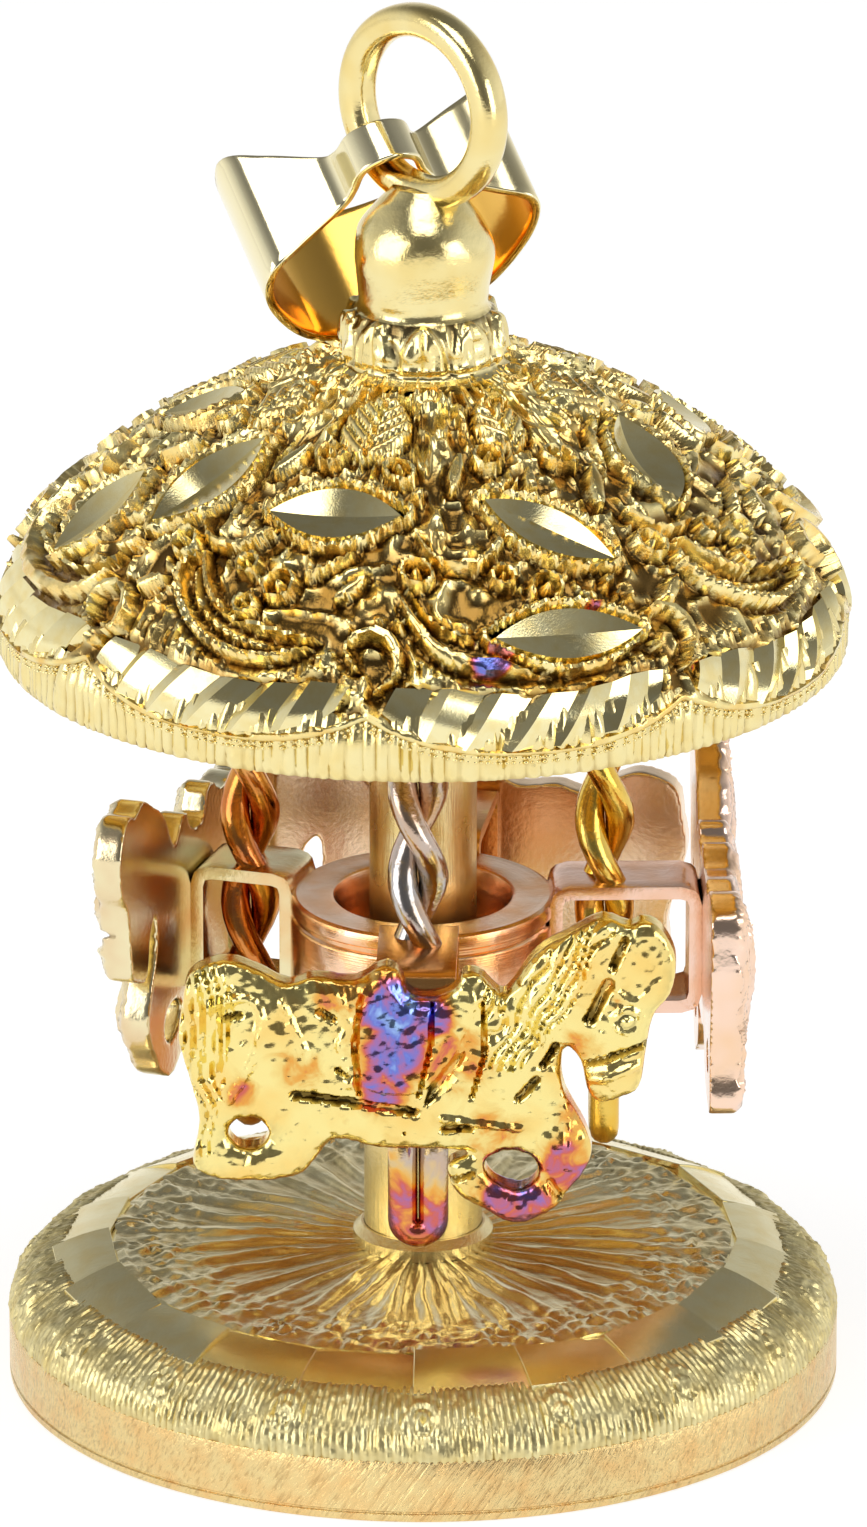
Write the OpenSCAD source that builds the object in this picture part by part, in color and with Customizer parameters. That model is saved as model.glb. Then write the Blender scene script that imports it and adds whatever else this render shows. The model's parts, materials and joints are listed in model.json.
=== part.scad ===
// Carousel charm: a domed canopy and a round base joined by a centre post.
// A rotor of four horses on twisted wire poles turns on the post, and a pendant
// bail rides on the loop ring above the finial.
// Units are millimetres. The origin is the middle of the underside of the base, +Z is up,
// the front is -Y.

/* [Base] */
// Outer radius of the base
base_r = 6.4; // [5.6:0.1:8]
// Thickness of the plate that closes the base underneath
plate_t = 0.18; // [0.12:0.02:0.4]
// Height of the straight satin side wall, from the underside
side_h = 1.0; // [0.7:0.05:1.6]
// Height of the convex milled band above the side wall
band_h = 0.83; // [0.5:0.01:1.2]
// Width of the convex milled band, measured inwards
band_w = 0.77; // [0.5:0.01:1.1]
// Number of diamond-cut flats round the stage
facet_count = 20; // [12:1:28]
// Width of the sloping flats, measured inwards
facet_w = 0.9; // [0.6:0.05:1.2]
// Slope of the flats from the horizontal, in degrees
facet_slope = 22; // [14:1:32]
// Depth of the stage floor below the top of the flats
floor_drop = 0.1; // [0.04:0.01:0.2]
// Sheet thickness of the base cover
cover_wall = 0.32; // [0.24:0.02:0.45]

/* [Post] */
// Outer radius of the centre post
post_r = 0.82; // [0.6:0.01:1]
// Wall of the centre post tube
post_wall = 0.2; // [0.12:0.02:0.3]
// Wall of the spacer sleeve below the rotor
sleeve_wall = 0.08; // [0.06:0.01:0.15]
// Outer radius of the foot collar on the stage
foot_r = 1.08; // [1:0.02:1.4]
// Height of the foot collar
foot_h = 0.3; // [0.2:0.05:0.6]

/* [Rotor] */
// Angle of the rotor at rest, in degrees, seen from above
rotor_turn = -1.5; // [-45:0.1:45]
// How far the right horse's place sits off its quarter, in degrees
right_skew = 3; // [0:0.5:4]
// How far the back horse's place sits off its quarter, in degrees
back_skew = -6.5; // [-7:0.5:0]
// How far the left horse's place sits off its quarter, in degrees
left_skew = -16; // [-17:0.5:0]
// Outer radius of the hub ring
hub_r = 2.03; // [1.85:0.01:2.15]
// Bore radius of the hub ring
hub_bore_r = 1.345; // [1.2:0.005:1.5]
// Height of the hub ring
hub_h = 1.8; // [1.2:0.1:2.4]
// Height of the top of the hub ring above the underside of the base
hub_top_z = 7.77; // [7.2:0.01:8.4]
// Running clearance between moving and fixed pieces
run_gap = 0.05; // [0.02:0.01:0.08]
// Radius of the thrust collar's flange
flange_r = 1.75; // [1.6:0.05:1.9]
// Thickness of the thrust collar's flange
flange_t = 0.25; // [0.2:0.05:0.5]
// Height of the spigot inside the hub bore
spigot_h = 0.8; // [0.5:0.1:1.1]

/* [Poles] */
// Distance of each pole from the centre line
pole_r = 2.78; // [2.74:0.01:3.2]
// Radius of the pole wire
wire_r = 0.23; // [0.18:0.01:0.23]
// Height of the bottom of the front and back poles
pole_low_z = 3.05; // [2.7:0.05:3.6]
// How much higher the left and right poles hang
pole_lift = 0.6; // [0:0.05:1.2]
// Length of a pole
pole_len = 9.3; // [7.5:0.1:9.8]
// Length of wire in one full turn of the twist
twist_pitch = 2.9; // [2:0.1:6]
// Length of the pair that hangs straight above the bend
straight_len = 1.2; // [0:0.1:2]

/* [Horses] */
// Distance of the inner face of a horse from the centre line
horse_in = 4.25; // [4:0.05:4.5]
// How much closer to the post the left horse stands
left_in = 0.7; // [0:0.05:0.75]
// Thickness of a horse plate, without its relief
horse_t = 0.42; // [0.3:0.02:0.6]
// Height of the belly of the front and back horses
belly_z = 5.36; // [5.2:0.02:6]
// How much higher the right horse stands
right_lift = 0.4; // [0:0.05:1]
// How much higher the left horse stands
left_lift = 0.75; // [0:0.05:1]
// Height of the raised saddle above the plate
saddle_t = 0.06; // [0.03:0.01:0.1]
// Depth of the engraved straps, mane and tail
engrave = 0.07; // [0.04:0.01:0.12]

/* [Brackets] */
// Width of the strap brackets
strap_w = 1.2; // [1.1:0.05:1.5]
// Thickness of the strap brackets
strap_t = 0.2; // [0.14:0.02:0.22]
// Height of the underside of the brackets
strap_low_z = 5.98; // [5.97:0.01:6.3]
// Height of a bracket from its underside to its top
strap_h = 2.05; // [1.6:0.05:2.2]

/* [Canopy] */
// Radius of the canopy at its rim
canopy_r = 6.5; // [6.3:0.05:7.5]
// Height of the rim above the underside of the base
rim_z = 11.85; // [11.4:0.05:13]
// Height of the upright milled rim
rim_h = 0.52; // [0.3:0.02:0.8]
// Rise of the dome above the milled rim
dome_h = 4.16; // [3:0.02:5]
// Fullness of the dome, 1 for a cone and 2 for a half ellipse
dome_fullness = 1.56; // [1.3:0.02:2]
// Sheet thickness of the canopy
canopy_wall = 0.4; // [0.3:0.02:0.5]
// Number of scalloped lobes round the canopy
lobe_count = 8; // [6:1:10]
// Turn of the lobes about the centre line, in degrees
lobe_turn = -7.7; // [-22:0.1:22]
// Height of the scalloped edge above the rim at the middle of a lobe
lobe_low = 0.27; // [0.2:0.01:0.4]
// How much higher that edge stands where two lobes meet
lobe_rise = 0.53; // [0.3:0.01:0.7]
// How far the lobes stand out from the milled rim
lobe_t = 0.1; // [0.06:0.01:0.14]
// Number of slanted diamond cuts on a lobe
lobe_cuts = 6; // [4:1:8]
// Width of a slanted diamond cut
lobe_cut_w = 0.6; // [0.4:0.02:0.7]
// Depth of the diamond cuts
diamond_d = 0.08; // [0.04:0.01:0.12]
// Radius of the bush that ties the canopy to the post
bush_r = 1.5; // [1.2:0.05:2]

/* [Finial] */
// Radius of the finial's foot on the crown
finial_foot_r = 1.35; // [1.3:0.05:1.7]
// Radius of the finial's leaf collar
leaf_collar_r = 1.17; // [1.1:0.01:1.3]
// Height of the leaf collar above the crown
leaf_collar_h = 0.85; // [0.6:0.05:1.2]
// Number of leaves round the collar
leaf_count = 9; // [7:1:12]
// Depth of the notches between the leaves
leaf_notch = 0.12; // [0.06:0.01:0.16]
// Radius of the finial's ball
ball_r = 1.03; // [0.9:0.01:1.1]

/* [Loop and bail] */
// Radius of the hole in the loop ring
loop_hole_r = 1.08; // [0.9:0.01:1.3]
// Radial thickness of the loop ring
loop_radial = 0.5; // [0.4:0.02:0.54]
// Thickness of the loop ring along its axis
loop_axial = 0.56; // [0.4:0.02:0.6]
// Angle between the loop ring's plane and the front, in degrees
loop_turn = 42; // [30:1:60]
// Width of the bail's loop, from leg to leg
bail_span = 4.3; // [3.8:0.1:4.6]
// Length of the bail below the loop ring's wire
bail_len = 2.94; // [2.4:0.1:3.4]
// Width of the bail's strap at its wide end
bail_wide = 2.25; // [1.8:0.05:2.8]
// Width of the bail's strap at its eye
bail_narrow = 0.7; // [0.6:0.02:0.8]
// Sheet thickness of the bail
bail_t = 0.14; // [0.1:0.01:0.18]

/* [Hidden] */
$fn = 96;

yellow_gold = [0.86, 0.72, 0.34];
satin_gold = [0.88, 0.70, 0.42];
rose_gold = [0.86, 0.58, 0.46];
green_gold = [0.80, 0.76, 0.48];
pink_gold = [0.82, 0.62, 0.50];
fired_gold = [0.62, 0.34, 0.14];
steel_grey = [0.42, 0.36, 0.32];

// Base
cut = 1;                                     // how far a cutting solid runs past what it cuts
seat_gap = 0.01;                             // solder line between a hole and what it holds
stage_r = base_r - band_w - facet_w;         // radius of the stage floor
band_top_z = side_h + band_h;
flats_top_z = band_top_z + facet_w * tan(facet_slope);
floor_z = flats_top_z - floor_drop;
plate_rim_h = 0.32;                          // height of the plate's locating rim
plate_rim_t = 0.3;                           // thickness of that rim
ridge_over = 0.2;                            // metal above the flats before they are cut
band_steps = 8;

// Post and rotor
hub_low_z = hub_top_z - hub_h;
flange_top_z = hub_low_z - run_gap;
flange_low_z = flange_top_z - flange_t;
groove_drop = 0.25;                          // from the hub's top to its turned groove
groove_h = 0.1;
groove_d = 0.06;
skews = [0, right_skew, back_skew, left_skew];  // of the front, right, back and left places
lifts = [0, right_lift, 0, left_lift];       // of the horses at those places
strand_r = wire_r + 0.005;                   // distance of each strand from the pole's own axis
pole_reach = strand_r + wire_r;              // radius of the cylinder that the twisted pair fills
wire_sides = 8;
rings_per_turn = 18;
bend_steps = 8;

// Canopy
crown_r = finial_foot_r;
dome_steps = 26;
crown_z = dome_z(crown_r, canopy_r, dome_h);
bush_h = 0.6;
rim_top_z = rim_z + rim_h;
lobe_pitch = 360 / lobe_count;
lobe_half = canopy_r * sin(lobe_pitch / 2);  // half the chord between two cusps
lobe_r = (pow(lobe_half, 2) + pow(lobe_rise, 2)) / (2 * lobe_rise);
cut_band_z = 0.38;                           // middle of the slanted cuts above the upright rim
cut_band_rise = 0.46;                        // how much higher they climb towards the cusps
cut_share = 0.87;                            // part of a lobe that the cuts fill
cut_slant = 62;                              // lean of the slanted cuts from the level, in degrees
cut_len = 3;                                 // length of the graver, longer than any diamond cut

// The marquise cuts: angle from the front, share of the radius, width and turn
marquises = [
    [-18.7, 0.62, 0.95, 5], [25.4, 0.67, 0.8, -42], [22.1, 0.88, 0.8, -4], [-53.5, 0.61, 1.05, 78],
    [-73, 0.78, 1.05, 86], [64, 0.58, 1.05, 61], [-94, 0.51, 0.8, 60], [105, 0.62, 0.9, 4],
    [118, 0.86, 0.8, -4], [148, 0.66, 0.8, -42], [190, 0.6, 1.05, 80], [167, 0.85, 0.8, 10],
    [214, 0.78, 1, 86], [236, 0.58, 1, 55]
];
post_top_z = crown_z + 0.5;

// Loop ring and bail
wire_mean_r = loop_hole_r + loop_radial / 2;
notch_w = 0.3;                               // width of a notch between two leaves
notch_share = 0.66;                          // part of the leaf collar's height that it runs
finial_neck_r = 0.46;                        // radius where the ball meets the ring's seat
loop_sink = 0.32;                            // how far the ring's wire is let into the finial
ball_z = crown_z + leaf_collar_h + 0.75;
finial_top_z = ball_z + ball_r + 0.12;
loop_z = finial_top_z - loop_sink + loop_hole_r + loop_radial;
ring_sides = 28;
ring_squareness = 2.5;                       // 2 is an ellipse, higher is squarer
eye_r = 0.5;                                 // inner radius of the bail's eye
eye_turn = 230;                              // place of the eye round the ring, from the right
eye_hang = 0.05;                             // how far the eye hangs below the wire's centre
shoulder_len = 0.53;                         // from the eye to where the strap has its full width
bail_len_dir = [-0.055, 0.631, -0.774];      // from the eye towards the wide end
bail_pass_dir = [0.352, -0.713, -0.606];     // along the chain's way through the bail

// ---------- helpers ----------

function unit(v) = v / norm(v);

// A shallow V of width w and depth d for a diamond cut, its edge along X and its face at Z = 0
module diamond_cut(length, w, d) rotate([90, 0, 90])
    linear_extrude(length, center = true) polygon([[0, -d], [w * 1.5, 2 * d], [-w * 1.5, 2 * d]]);

// Height of a dome surface of radius r0 and rise h at radius r
function dome_z(r, r0, h) =
    rim_z + rim_h + h * pow(1 - pow(min(r / r0, 1), dome_fullness), 1 / dome_fullness);

// A point on a Catmull-Rom span between b and c
function span(a, b, c, d, t) =
    0.5 * ((2 * b) + (c - a) * t + (2 * a - 5 * b + 4 * c - d) * t * t
    + (3 * b - a - 3 * c + d) * t * t * t);

// A smooth closed outline through the points p, with n points on each span
function smooth_loop(p, n) = [
    for (i = [0:len(p) - 1], k = [0:n - 1])
        span(p[(i - 1 + len(p)) % len(p)], p[i], p[(i + 1) % len(p)], p[(i + 2) % len(p)], k / n)
];

// The closed outline p moved sideways by d, to its right
function shift_loop(p, d) = [
    for (i = [0:len(p) - 1])
        let (t = unit(p[(i + 1) % len(p)] - p[(i - 1 + len(p)) % len(p)]))
            p[i] + d * [t[1], -t[0]]
];

function reversed(p) = [for (i = [len(p) - 1:-1:0]) p[i]];

// Puts a child drawn at the front at the k-th of the four places round the rotor
module at_place(k) {
    rotate([0, 0, rotor_turn + 90 * k + skews[k]]) children();
}

// Distance of the k-th horse's inner face from the centre line
function reach(k) = horse_in - (k == 3 ? left_in : 0);

// ---------- base ----------

module base_plate() color(satin_gold) {
    cylinder(r = base_r, h = plate_t);
    difference() {
        cylinder(r = base_r - cover_wall - seat_gap, h = plate_t + plate_rim_h);
        cylinder(r = base_r - cover_wall - plate_rim_t, h = plate_t + plate_rim_h + cut);
    }
}

// Convex band from the side wall up to the flats, as a quarter ellipse
function band_curve() = [
    for (i = [0:band_steps])
        let (a = 62 * i / band_steps)
            [base_r - band_w * (1 - cos(a)) / (1 - cos(62)), side_h + band_h * sin(a) / sin(62)]
];

module base_cover_blank() rotate_extrude()
    polygon(concat(
        [[base_r, plate_t]],
        band_curve(),
        [
            [base_r - band_w - facet_w * 0.3, flats_top_z + ridge_over],
            [stage_r, flats_top_z + ridge_over],
            [stage_r, floor_z],
            [post_r + seat_gap, floor_z],
            [post_r + seat_gap, floor_z - cover_wall],
            [base_r - band_w - facet_w * 0.3, floor_z - cover_wall],
            [base_r - cover_wall, side_h],
            [base_r - cover_wall, plate_t]
        ]));

module base_cover() color(yellow_gold) difference() {
    base_cover_blank();
    for (i = [0:facet_count - 1])
        rotate([0, 0, (i + 0.5) * 360 / facet_count - 1.4])
            translate([0, -(base_r - band_w), band_top_z])
                rotate([facet_slope, 0, 0])
                    translate([-base_r / 2, -base_r / 2, 0])
                        cube([base_r, base_r, base_r / 2]);
}

module post_foot() color(yellow_gold)
    rotate_extrude() polygon([
        [post_r + sleeve_wall + 2 * seat_gap, floor_z],
        [foot_r, floor_z],
        [foot_r, floor_z + foot_h * 0.6],
        [post_r + sleeve_wall + 0.06, floor_z + foot_h],
        [post_r + sleeve_wall + 2 * seat_gap, floor_z + foot_h]
    ]);

// ---------- centre post ----------

module center_post() color(satin_gold) difference() {
    translate([0, 0, plate_t]) cylinder(r = post_r, h = post_top_z - plate_t);
    translate([0, 0, plate_t - cut])
        cylinder(r = post_r - post_wall, h = post_top_z - plate_t + 2 * cut);
}

module post_sleeve() color(satin_gold) difference() {
    translate([0, 0, floor_z]) cylinder(r = post_r + sleeve_wall + seat_gap, h = flange_low_z - floor_z);
    translate([0, 0, floor_z - cut]) cylinder(r = post_r + seat_gap, h = flange_low_z - floor_z + 2 * cut);
}

module thrust_collar() color(fired_gold) difference() {
    union() {
        translate([0, 0, flange_low_z]) cylinder(r = flange_r, h = flange_t);
        translate([0, 0, flange_low_z])
            cylinder(r = hub_bore_r - run_gap, h = flange_t + run_gap + spigot_h);
    }
    translate([0, 0, flange_low_z - cut])
        cylinder(r = post_r + seat_gap, h = flange_t + spigot_h + 3 * cut);
}

// ---------- rotor ----------

module hub_ring() color(rose_gold) difference() {
    translate([0, 0, hub_low_z]) cylinder(r = hub_r, h = hub_h);
    translate([0, 0, hub_low_z - cut]) cylinder(r = hub_bore_r, h = hub_h + 2 * cut);
    translate([0, 0, hub_top_z - groove_drop - groove_h]) difference() {
        cylinder(r = hub_r + cut, h = groove_h);
        translate([0, 0, -cut]) cylinder(r = hub_r - groove_d, h = groove_h + 2 * cut);
    }
}

// Closed strap from the hub's wall to a horse's inner face, pierced for the pole
module bracket(k) color(fired_gold) at_place(k) difference() {
    translate([-strap_w / 2, -reach(k), strap_low_z]) cube([strap_w, reach(k), strap_h]);
    translate([-strap_w / 2 - cut, -reach(k) + strap_t, strap_low_z + strap_t])
        cube([strap_w + 2 * cut, reach(k) - strap_t - hub_r - strap_t, strap_h - 2 * strap_t]);
    translate([0, 0, strap_low_z - cut]) cylinder(r = hub_r + seat_gap, h = strap_h + 2 * cut);
    translate([0, -pole_r, strap_low_z - cut])
        cylinder(r = pole_reach + seat_gap, h = strap_h + 2 * cut);
}

// Angle of the twisted pair at height h above the bend; it hangs straight, then twists
function pair_angle(h) = -360 * max(h - straight_len, 0) / twist_pitch;

// A ring of the wire's section: a centre point, its outward direction and its other one
function wire_ring(c, out, side) = [
    for (i = [0:wire_sides - 1])
        let (a = 360 * i / wire_sides)
            c + wire_r * (cos(a) * out + sin(a) * side)
];

// The ring on strand s, 1 or -1, at height h above the bend
function strand_ring(s, h) =
    let (
        a = pair_angle(h),
        slope = (h > straight_len) ? -2 * PI * strand_r / twist_pitch : 0,
        out = s * [cos(a), sin(a), 0],
        along = unit(s * (s * slope * [-out[1], out[0], 0] + [0, 0, 1]) * -1)
    )
    wire_ring(strand_r * out + [0, 0, h], out, cross(along, out));

// The ring at angle b round the bend at the bottom of the hairpin
function bend_ring(b) =
    let (out = [cos(b), 0, -sin(b)], along = [-sin(b), 0, -cos(b)])
    wire_ring(strand_r * out, out, cross(along, out));

// Hairpin of wire, its two strands twisted together above the bend
module pole(k, tint) {
    bottom = pole_low_z + (k % 2) * pole_lift;
    run = pole_len - pole_reach;
    steps = round(run / twist_pitch * rings_per_turn);
    rings = concat(
        [for (i = [steps:-1:1]) strand_ring(1, run * i / steps)],
        [for (i = [0:bend_steps]) bend_ring(180 * i / bend_steps)],
        [for (i = [1:steps]) strand_ring(-1, run * i / steps)]
    );
    last = len(rings) - 1;
    color(tint) at_place(k) translate([0, -pole_r, bottom + pole_reach]) polyhedron(
        points = [for (r = rings) each r],
        faces = concat(
            [[for (i = [0:wire_sides - 1]) i]],
            [for (j = [0:last - 1], i = [0:wire_sides - 1], half = [0, 1])
                let (
                    a = j * wire_sides + i,
                    b = j * wire_sides + (i + 1) % wire_sides,
                    c = a + wire_sides,
                    d = b + wire_sides
                )
                half == 0 ? [a, c, b] : [b, c, d]],
            [[for (i = [wire_sides - 1:-1:0]) last * wire_sides + i]]
        )
    );
}

// Half outline pieces of a horse that walks to the right, from the pole's centre line
// and up from the belly.
mane = [
    [0.97, 2.8], [1.28, 2.5], [1.45, 2.62], [1.81, 3.14], [2.28, 3.44], [2.8, 3.71], [3.18, 3.59]
];
head = [
    [3.42, 3.67], [3.68, 3.54], [3.9, 3.1], [3.84, 2.56], [3.57, 2.17], [3.46, 1.6],
    [3.37, 1.05], [3.13, 0.88], [2.8, 0.78], [2.6, 0.96], [2.49, 1.44], [2.28, 1.67]
];
foreleg = [
    [2.2, 1.45], [2.24, 0.98], [2.54, 0.4], [2.66, 0], [2.53, -0.37], [2.28, -0.68],
    [2.1, -0.94], [1.55, -1.18], [1.05, -0.97], [0.63, -0.7], [0.5, -0.25], [0.88, -0.05]
];
belly = [[0.4, 0], [-0.5, 0.02], [-1.18, 0.16]];
hind_leg = [[-1.5, -0.18], [-1.73, -0.43], [-2.21, -0.52], [-2.97, -0.51], [-3.33, -0.28]];
tail = [[-3.26, 0.2], [-3.25, 0.6], [-3.42, 1.24], [-3.54, 1.75], [-3.48, 2.3], [-3.4, 2.7]];
rump = [[-3.15, 2.9], [-2.75, 2.98], [-2.3, 2.81], [-1.9, 2.62], [-1.5, 2.73], [-0.9, 2.68]];
saddle = [[-0.5, 2.91], [-0.24, 2.84], [-0.06, 2.47], [0.3, 2.43], [0.6, 2.58], [0.72, 2.81]];
horse_outline = concat(mane, head, foreleg, belly, hind_leg, tail, rump, saddle);
foreleg_gap = [[1.05, -0.2], [1.35, -0.02], [1.75, -0.1], [1.85, -0.4], [1.6, -0.62], [1.2, -0.5]];
saddle_cloth = [
    [-0.82, 2.6], [-0.45, 2.8], [-0.15, 2.4], [0.3, 2.33], [0.66, 2.68], [0.95, 2.4],
    [0.62, 1.6], [0.12, 1.0], [-0.72, 1.06], [-0.86, 1.9]
];
mane_cuts = 5;
tail_cuts = 4;

// A shallow V of width w from a to b, engraved into the outer face of a horse
module graver(a, b, w) {
    length = norm(b - a);
    translate(a) rotate([0, 0, atan2(b[1] - a[1], b[0] - a[0])])
        translate([length / 2, 0, horse_t]) rotate([0, 90, 0]) rotate([0, 0, 45])
            cube([w, w, length], center = true);
}

module horse(k, tint) {
    z = belly_z + lifts[k];
    color(tint) at_place(k) translate([0, -reach(k), z]) rotate([90, 0, 0]) difference() {
        union() {
            linear_extrude(horse_t) difference() {
                polygon(smooth_loop(horse_outline, 3));
                polygon(smooth_loop(foreleg_gap, 3));
                translate([-2.5, 0.24]) scale([1.2, 1]) circle(r = 0.26, $fn = 24);
            }
            linear_extrude(horse_t + saddle_t) polygon(smooth_loop(saddle_cloth, 3));
        }
        graver([-1.69, 1.06], [0.03, 0.78], engrave);
        graver([0.45, 0.47], [0.95, 0.54], engrave);
        graver([1.57, 0.98], [2.16, 1.85], engrave);
        graver([2.61, 1.55], [3.45, 1.87], engrave);
        for (i = [0:mane_cuts - 1])
            graver([1.2 + 0.3 * i, 2.1 - 0.05 * i], [1.62 + 0.32 * i, 2.75 + 0.13 * i], engrave);
        for (i = [0:tail_cuts - 1])
            graver([-3.3 + 0.22 * i, 0.75 + 0.02 * i], [-3.2 + 0.14 * i, 2.3], engrave);
    }
}

// ---------- canopy ----------

// Surface of a dome of radius r0 and rise h, from its edge in to radius r_in
function dome_curve(r0, h, r_in) = [
    for (i = [0:dome_steps])
        let (r = r_in + (r0 - r_in) * cos(90 * i / dome_steps))
            [r, dome_z(r, r0, h)]
];

module canopy_blank() rotate_extrude() polygon(concat(
    [[canopy_r, rim_z]],
    dome_curve(canopy_r, dome_h, crown_r),
    [[post_r + seat_gap, crown_z]],
    [[post_r + seat_gap, dome_z(bush_r, canopy_r - canopy_wall, dome_h - canopy_wall)]],
    reversed(dome_curve(canopy_r - canopy_wall, dome_h - canopy_wall, bush_r)),
    [[canopy_r - canopy_wall, rim_z]]
));

// Radius of the dome's outer surface at height h above the upright rim
function dome_r(h) = canopy_r * pow(1 - pow(max(h, 0) / dome_h, dome_fullness), 1 / dome_fullness);

// Puts a child on the dome: X across to the right, Y up the dome and Z outwards
module on_dome(turn, h) {
    step = 0.02;
    lean = atan2(dome_r(h - step) - dome_r(h + step), 2 * step);
    rotate([0, 0, turn]) translate([0, -dome_r(h), rim_top_z + h]) rotate([90 - lean, 0, 0]) children();
}

// What lies below the scalloped edge, down to the face of the milled rim
module skirt_relief() difference() {
    skirt_top_z = rim_z + lobe_low + 2 * lobe_rise;
    translate([0, 0, rim_z - cut]) cylinder(r = canopy_r + cut, h = skirt_top_z - rim_z + cut);
    rotate_extrude() polygon(concat(
        [[0, rim_z - 2 * cut], [canopy_r - lobe_t, rim_z - 2 * cut]],
        dome_curve(canopy_r - lobe_t, dome_h - lobe_t, crown_r),
        [[0, crown_z]]));
    for (i = [0:lobe_count - 1])
        rotate([0, 0, lobe_turn + (i + 0.5) * lobe_pitch])
            translate([0, -canopy_r / 2, rim_z + lobe_low + lobe_r]) rotate([90, 0, 0])
                cylinder(r = lobe_r, h = canopy_r);
}

module slanted_cuts() for (i = [0:lobe_count - 1], j = [0:lobe_cuts - 1]) {
    across = cut_share * ((2 * j + 1) / lobe_cuts - 1);
    on_dome(lobe_turn + (i + 0.5 + across / 2) * lobe_pitch, cut_band_z + cut_band_rise * pow(across, 2))
        rotate([0, 0, cut_slant]) diamond_cut(cut_len, lobe_cut_w, diamond_d);
}

module marquise_cuts() for (m = marquises)
    on_dome(m[0], dome_z(m[1] * canopy_r, canopy_r, dome_h) - rim_top_z)
        rotate([0, 0, m[3]]) diamond_cut(cut_len, m[2], diamond_d);

module canopy() color(yellow_gold) difference() {
    canopy_blank();
    skirt_relief();
    slanted_cuts();
    marquise_cuts();
}

module canopy_bush() color(yellow_gold) difference() {
    top = dome_z(bush_r, canopy_r - canopy_wall, dome_h - canopy_wall);
    translate([0, 0, top - bush_h]) cylinder(r = bush_r, h = bush_h);
    translate([0, 0, top - bush_h - cut]) cylinder(r = post_r + seat_gap, h = bush_h + 2 * cut);
}

// ---------- finial, loop ring and bail ----------

// Cross-section of the loop ring's wire, a rounded oblong
function ring_section(grow) = [
    for (i = [0:ring_sides - 1])
        let (a = 360 * i / ring_sides, c = cos(a), s = sin(a), e = 2 / ring_squareness)
            [
                wire_mean_r + (loop_radial / 2 + grow) * sign(c) * pow(abs(c), e),
                (loop_axial / 2 + grow) * sign(s) * pow(abs(s), e)
            ]
];

// Places a child drawn in the loop ring's own plane: X to the right, Y up
module in_loop_plane() translate([0, 0, loop_z]) rotate([0, 0, -loop_turn])
    rotate([90, 0, 0]) children();

module loop_solid(grow) in_loop_plane() rotate_extrude() polygon(ring_section(grow));

module finial() color(yellow_gold) difference() {
    rotate_extrude() polygon(concat(
        [
            [0, crown_z + 0.5 + seat_gap],
            [post_r + seat_gap, crown_z + 0.5 + seat_gap],
            [post_r + seat_gap, crown_z],
            [finial_foot_r, crown_z],
            [finial_foot_r - 0.16, crown_z + 0.1],
            [leaf_collar_r + 0.06, crown_z + 0.22],
            [leaf_collar_r, crown_z + 0.34],
            [leaf_collar_r, crown_z + leaf_collar_h - 0.12],
            [leaf_collar_r - 0.06, crown_z + leaf_collar_h],
            [ball_r * 0.94, crown_z + leaf_collar_h + 0.06],
            [ball_r * 0.97, crown_z + leaf_collar_h + 0.2],
            [ball_r * 0.92, crown_z + leaf_collar_h + 0.36]
        ],
        [for (a = [-18:9:54]) [ball_r * cos(a), ball_z + ball_r * sin(a)]],
        [[finial_neck_r, finial_top_z - 0.12], [finial_neck_r - 0.06, finial_top_z], [0, finial_top_z]]
    ));
    loop_solid(seat_gap);
    for (i = [0:leaf_count - 1])
        rotate([0, 0, (i + 0.5) * 360 / leaf_count])
            translate([0, -leaf_collar_r, crown_z + leaf_collar_h * (1 - notch_share / 2)])
                rotate([90, 0, 0]) rotate([0, 0, 90])
                    diamond_cut(leaf_collar_h * notch_share, notch_w, leaf_notch);
}

module loop_ring() color(yellow_gold) loop_solid(0);

// Right half of the bail sheet's centre line: across, and away from the wire of the ring
bail_half = [
    [0.4, -0.41],
    [eye_r + bail_t / 2, 0],
    [0.8, shoulder_len * 0.42],
    [bail_span * 0.36, shoulder_len * 0.62],
    [bail_span * 0.49, shoulder_len],
    [bail_span * 0.47, shoulder_len + (bail_len - shoulder_len) * 0.4],
    [bail_span * 0.3, shoulder_len + (bail_len - shoulder_len) * 0.86]
];
bail_line = smooth_loop(concat(
    [[0, -eye_r - bail_t / 2]],
    bail_half,
    [[0, bail_len]],
    [for (p = reversed(bail_half)) [-p[0], p[1]]]
), 4);

// Turns X, Y and Z to the bail's across, length and chain directions at the eye
module at_eye() {
    y_dir = unit(bail_len_dir);
    x_dir = unit(cross(y_dir, bail_pass_dir));
    z_dir = cross(x_dir, y_dir);
    wire = [
        wire_mean_r * cos(eye_turn) * cos(loop_turn),
        -wire_mean_r * cos(eye_turn) * sin(loop_turn),
        loop_z + wire_mean_r * sin(eye_turn)
    ];
    eye = wire + eye_hang * y_dir;
    multmatrix([
        [x_dir[0], y_dir[0], z_dir[0], eye[0]],
        [x_dir[1], y_dir[1], z_dir[1], eye[1]],
        [x_dir[2], y_dir[2], z_dir[2], eye[2]],
        [0, 0, 0, 1]
    ]) children();
}

// What is cut away beside the eye, so that the strap widens along its two legs
module bail_taper() translate([0, shoulder_len, 0]) rotate([90, 0, 0])
    linear_extrude(shoulder_len + cut) polygon([
        [-bail_span / 2, bail_wide / 2],
        [-eye_r, bail_narrow / 2],
        [eye_r, bail_narrow / 2],
        [bail_span / 2, bail_wide / 2],
        [bail_span / 2, bail_wide],
        [-bail_span / 2, bail_wide]
    ]);

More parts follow.
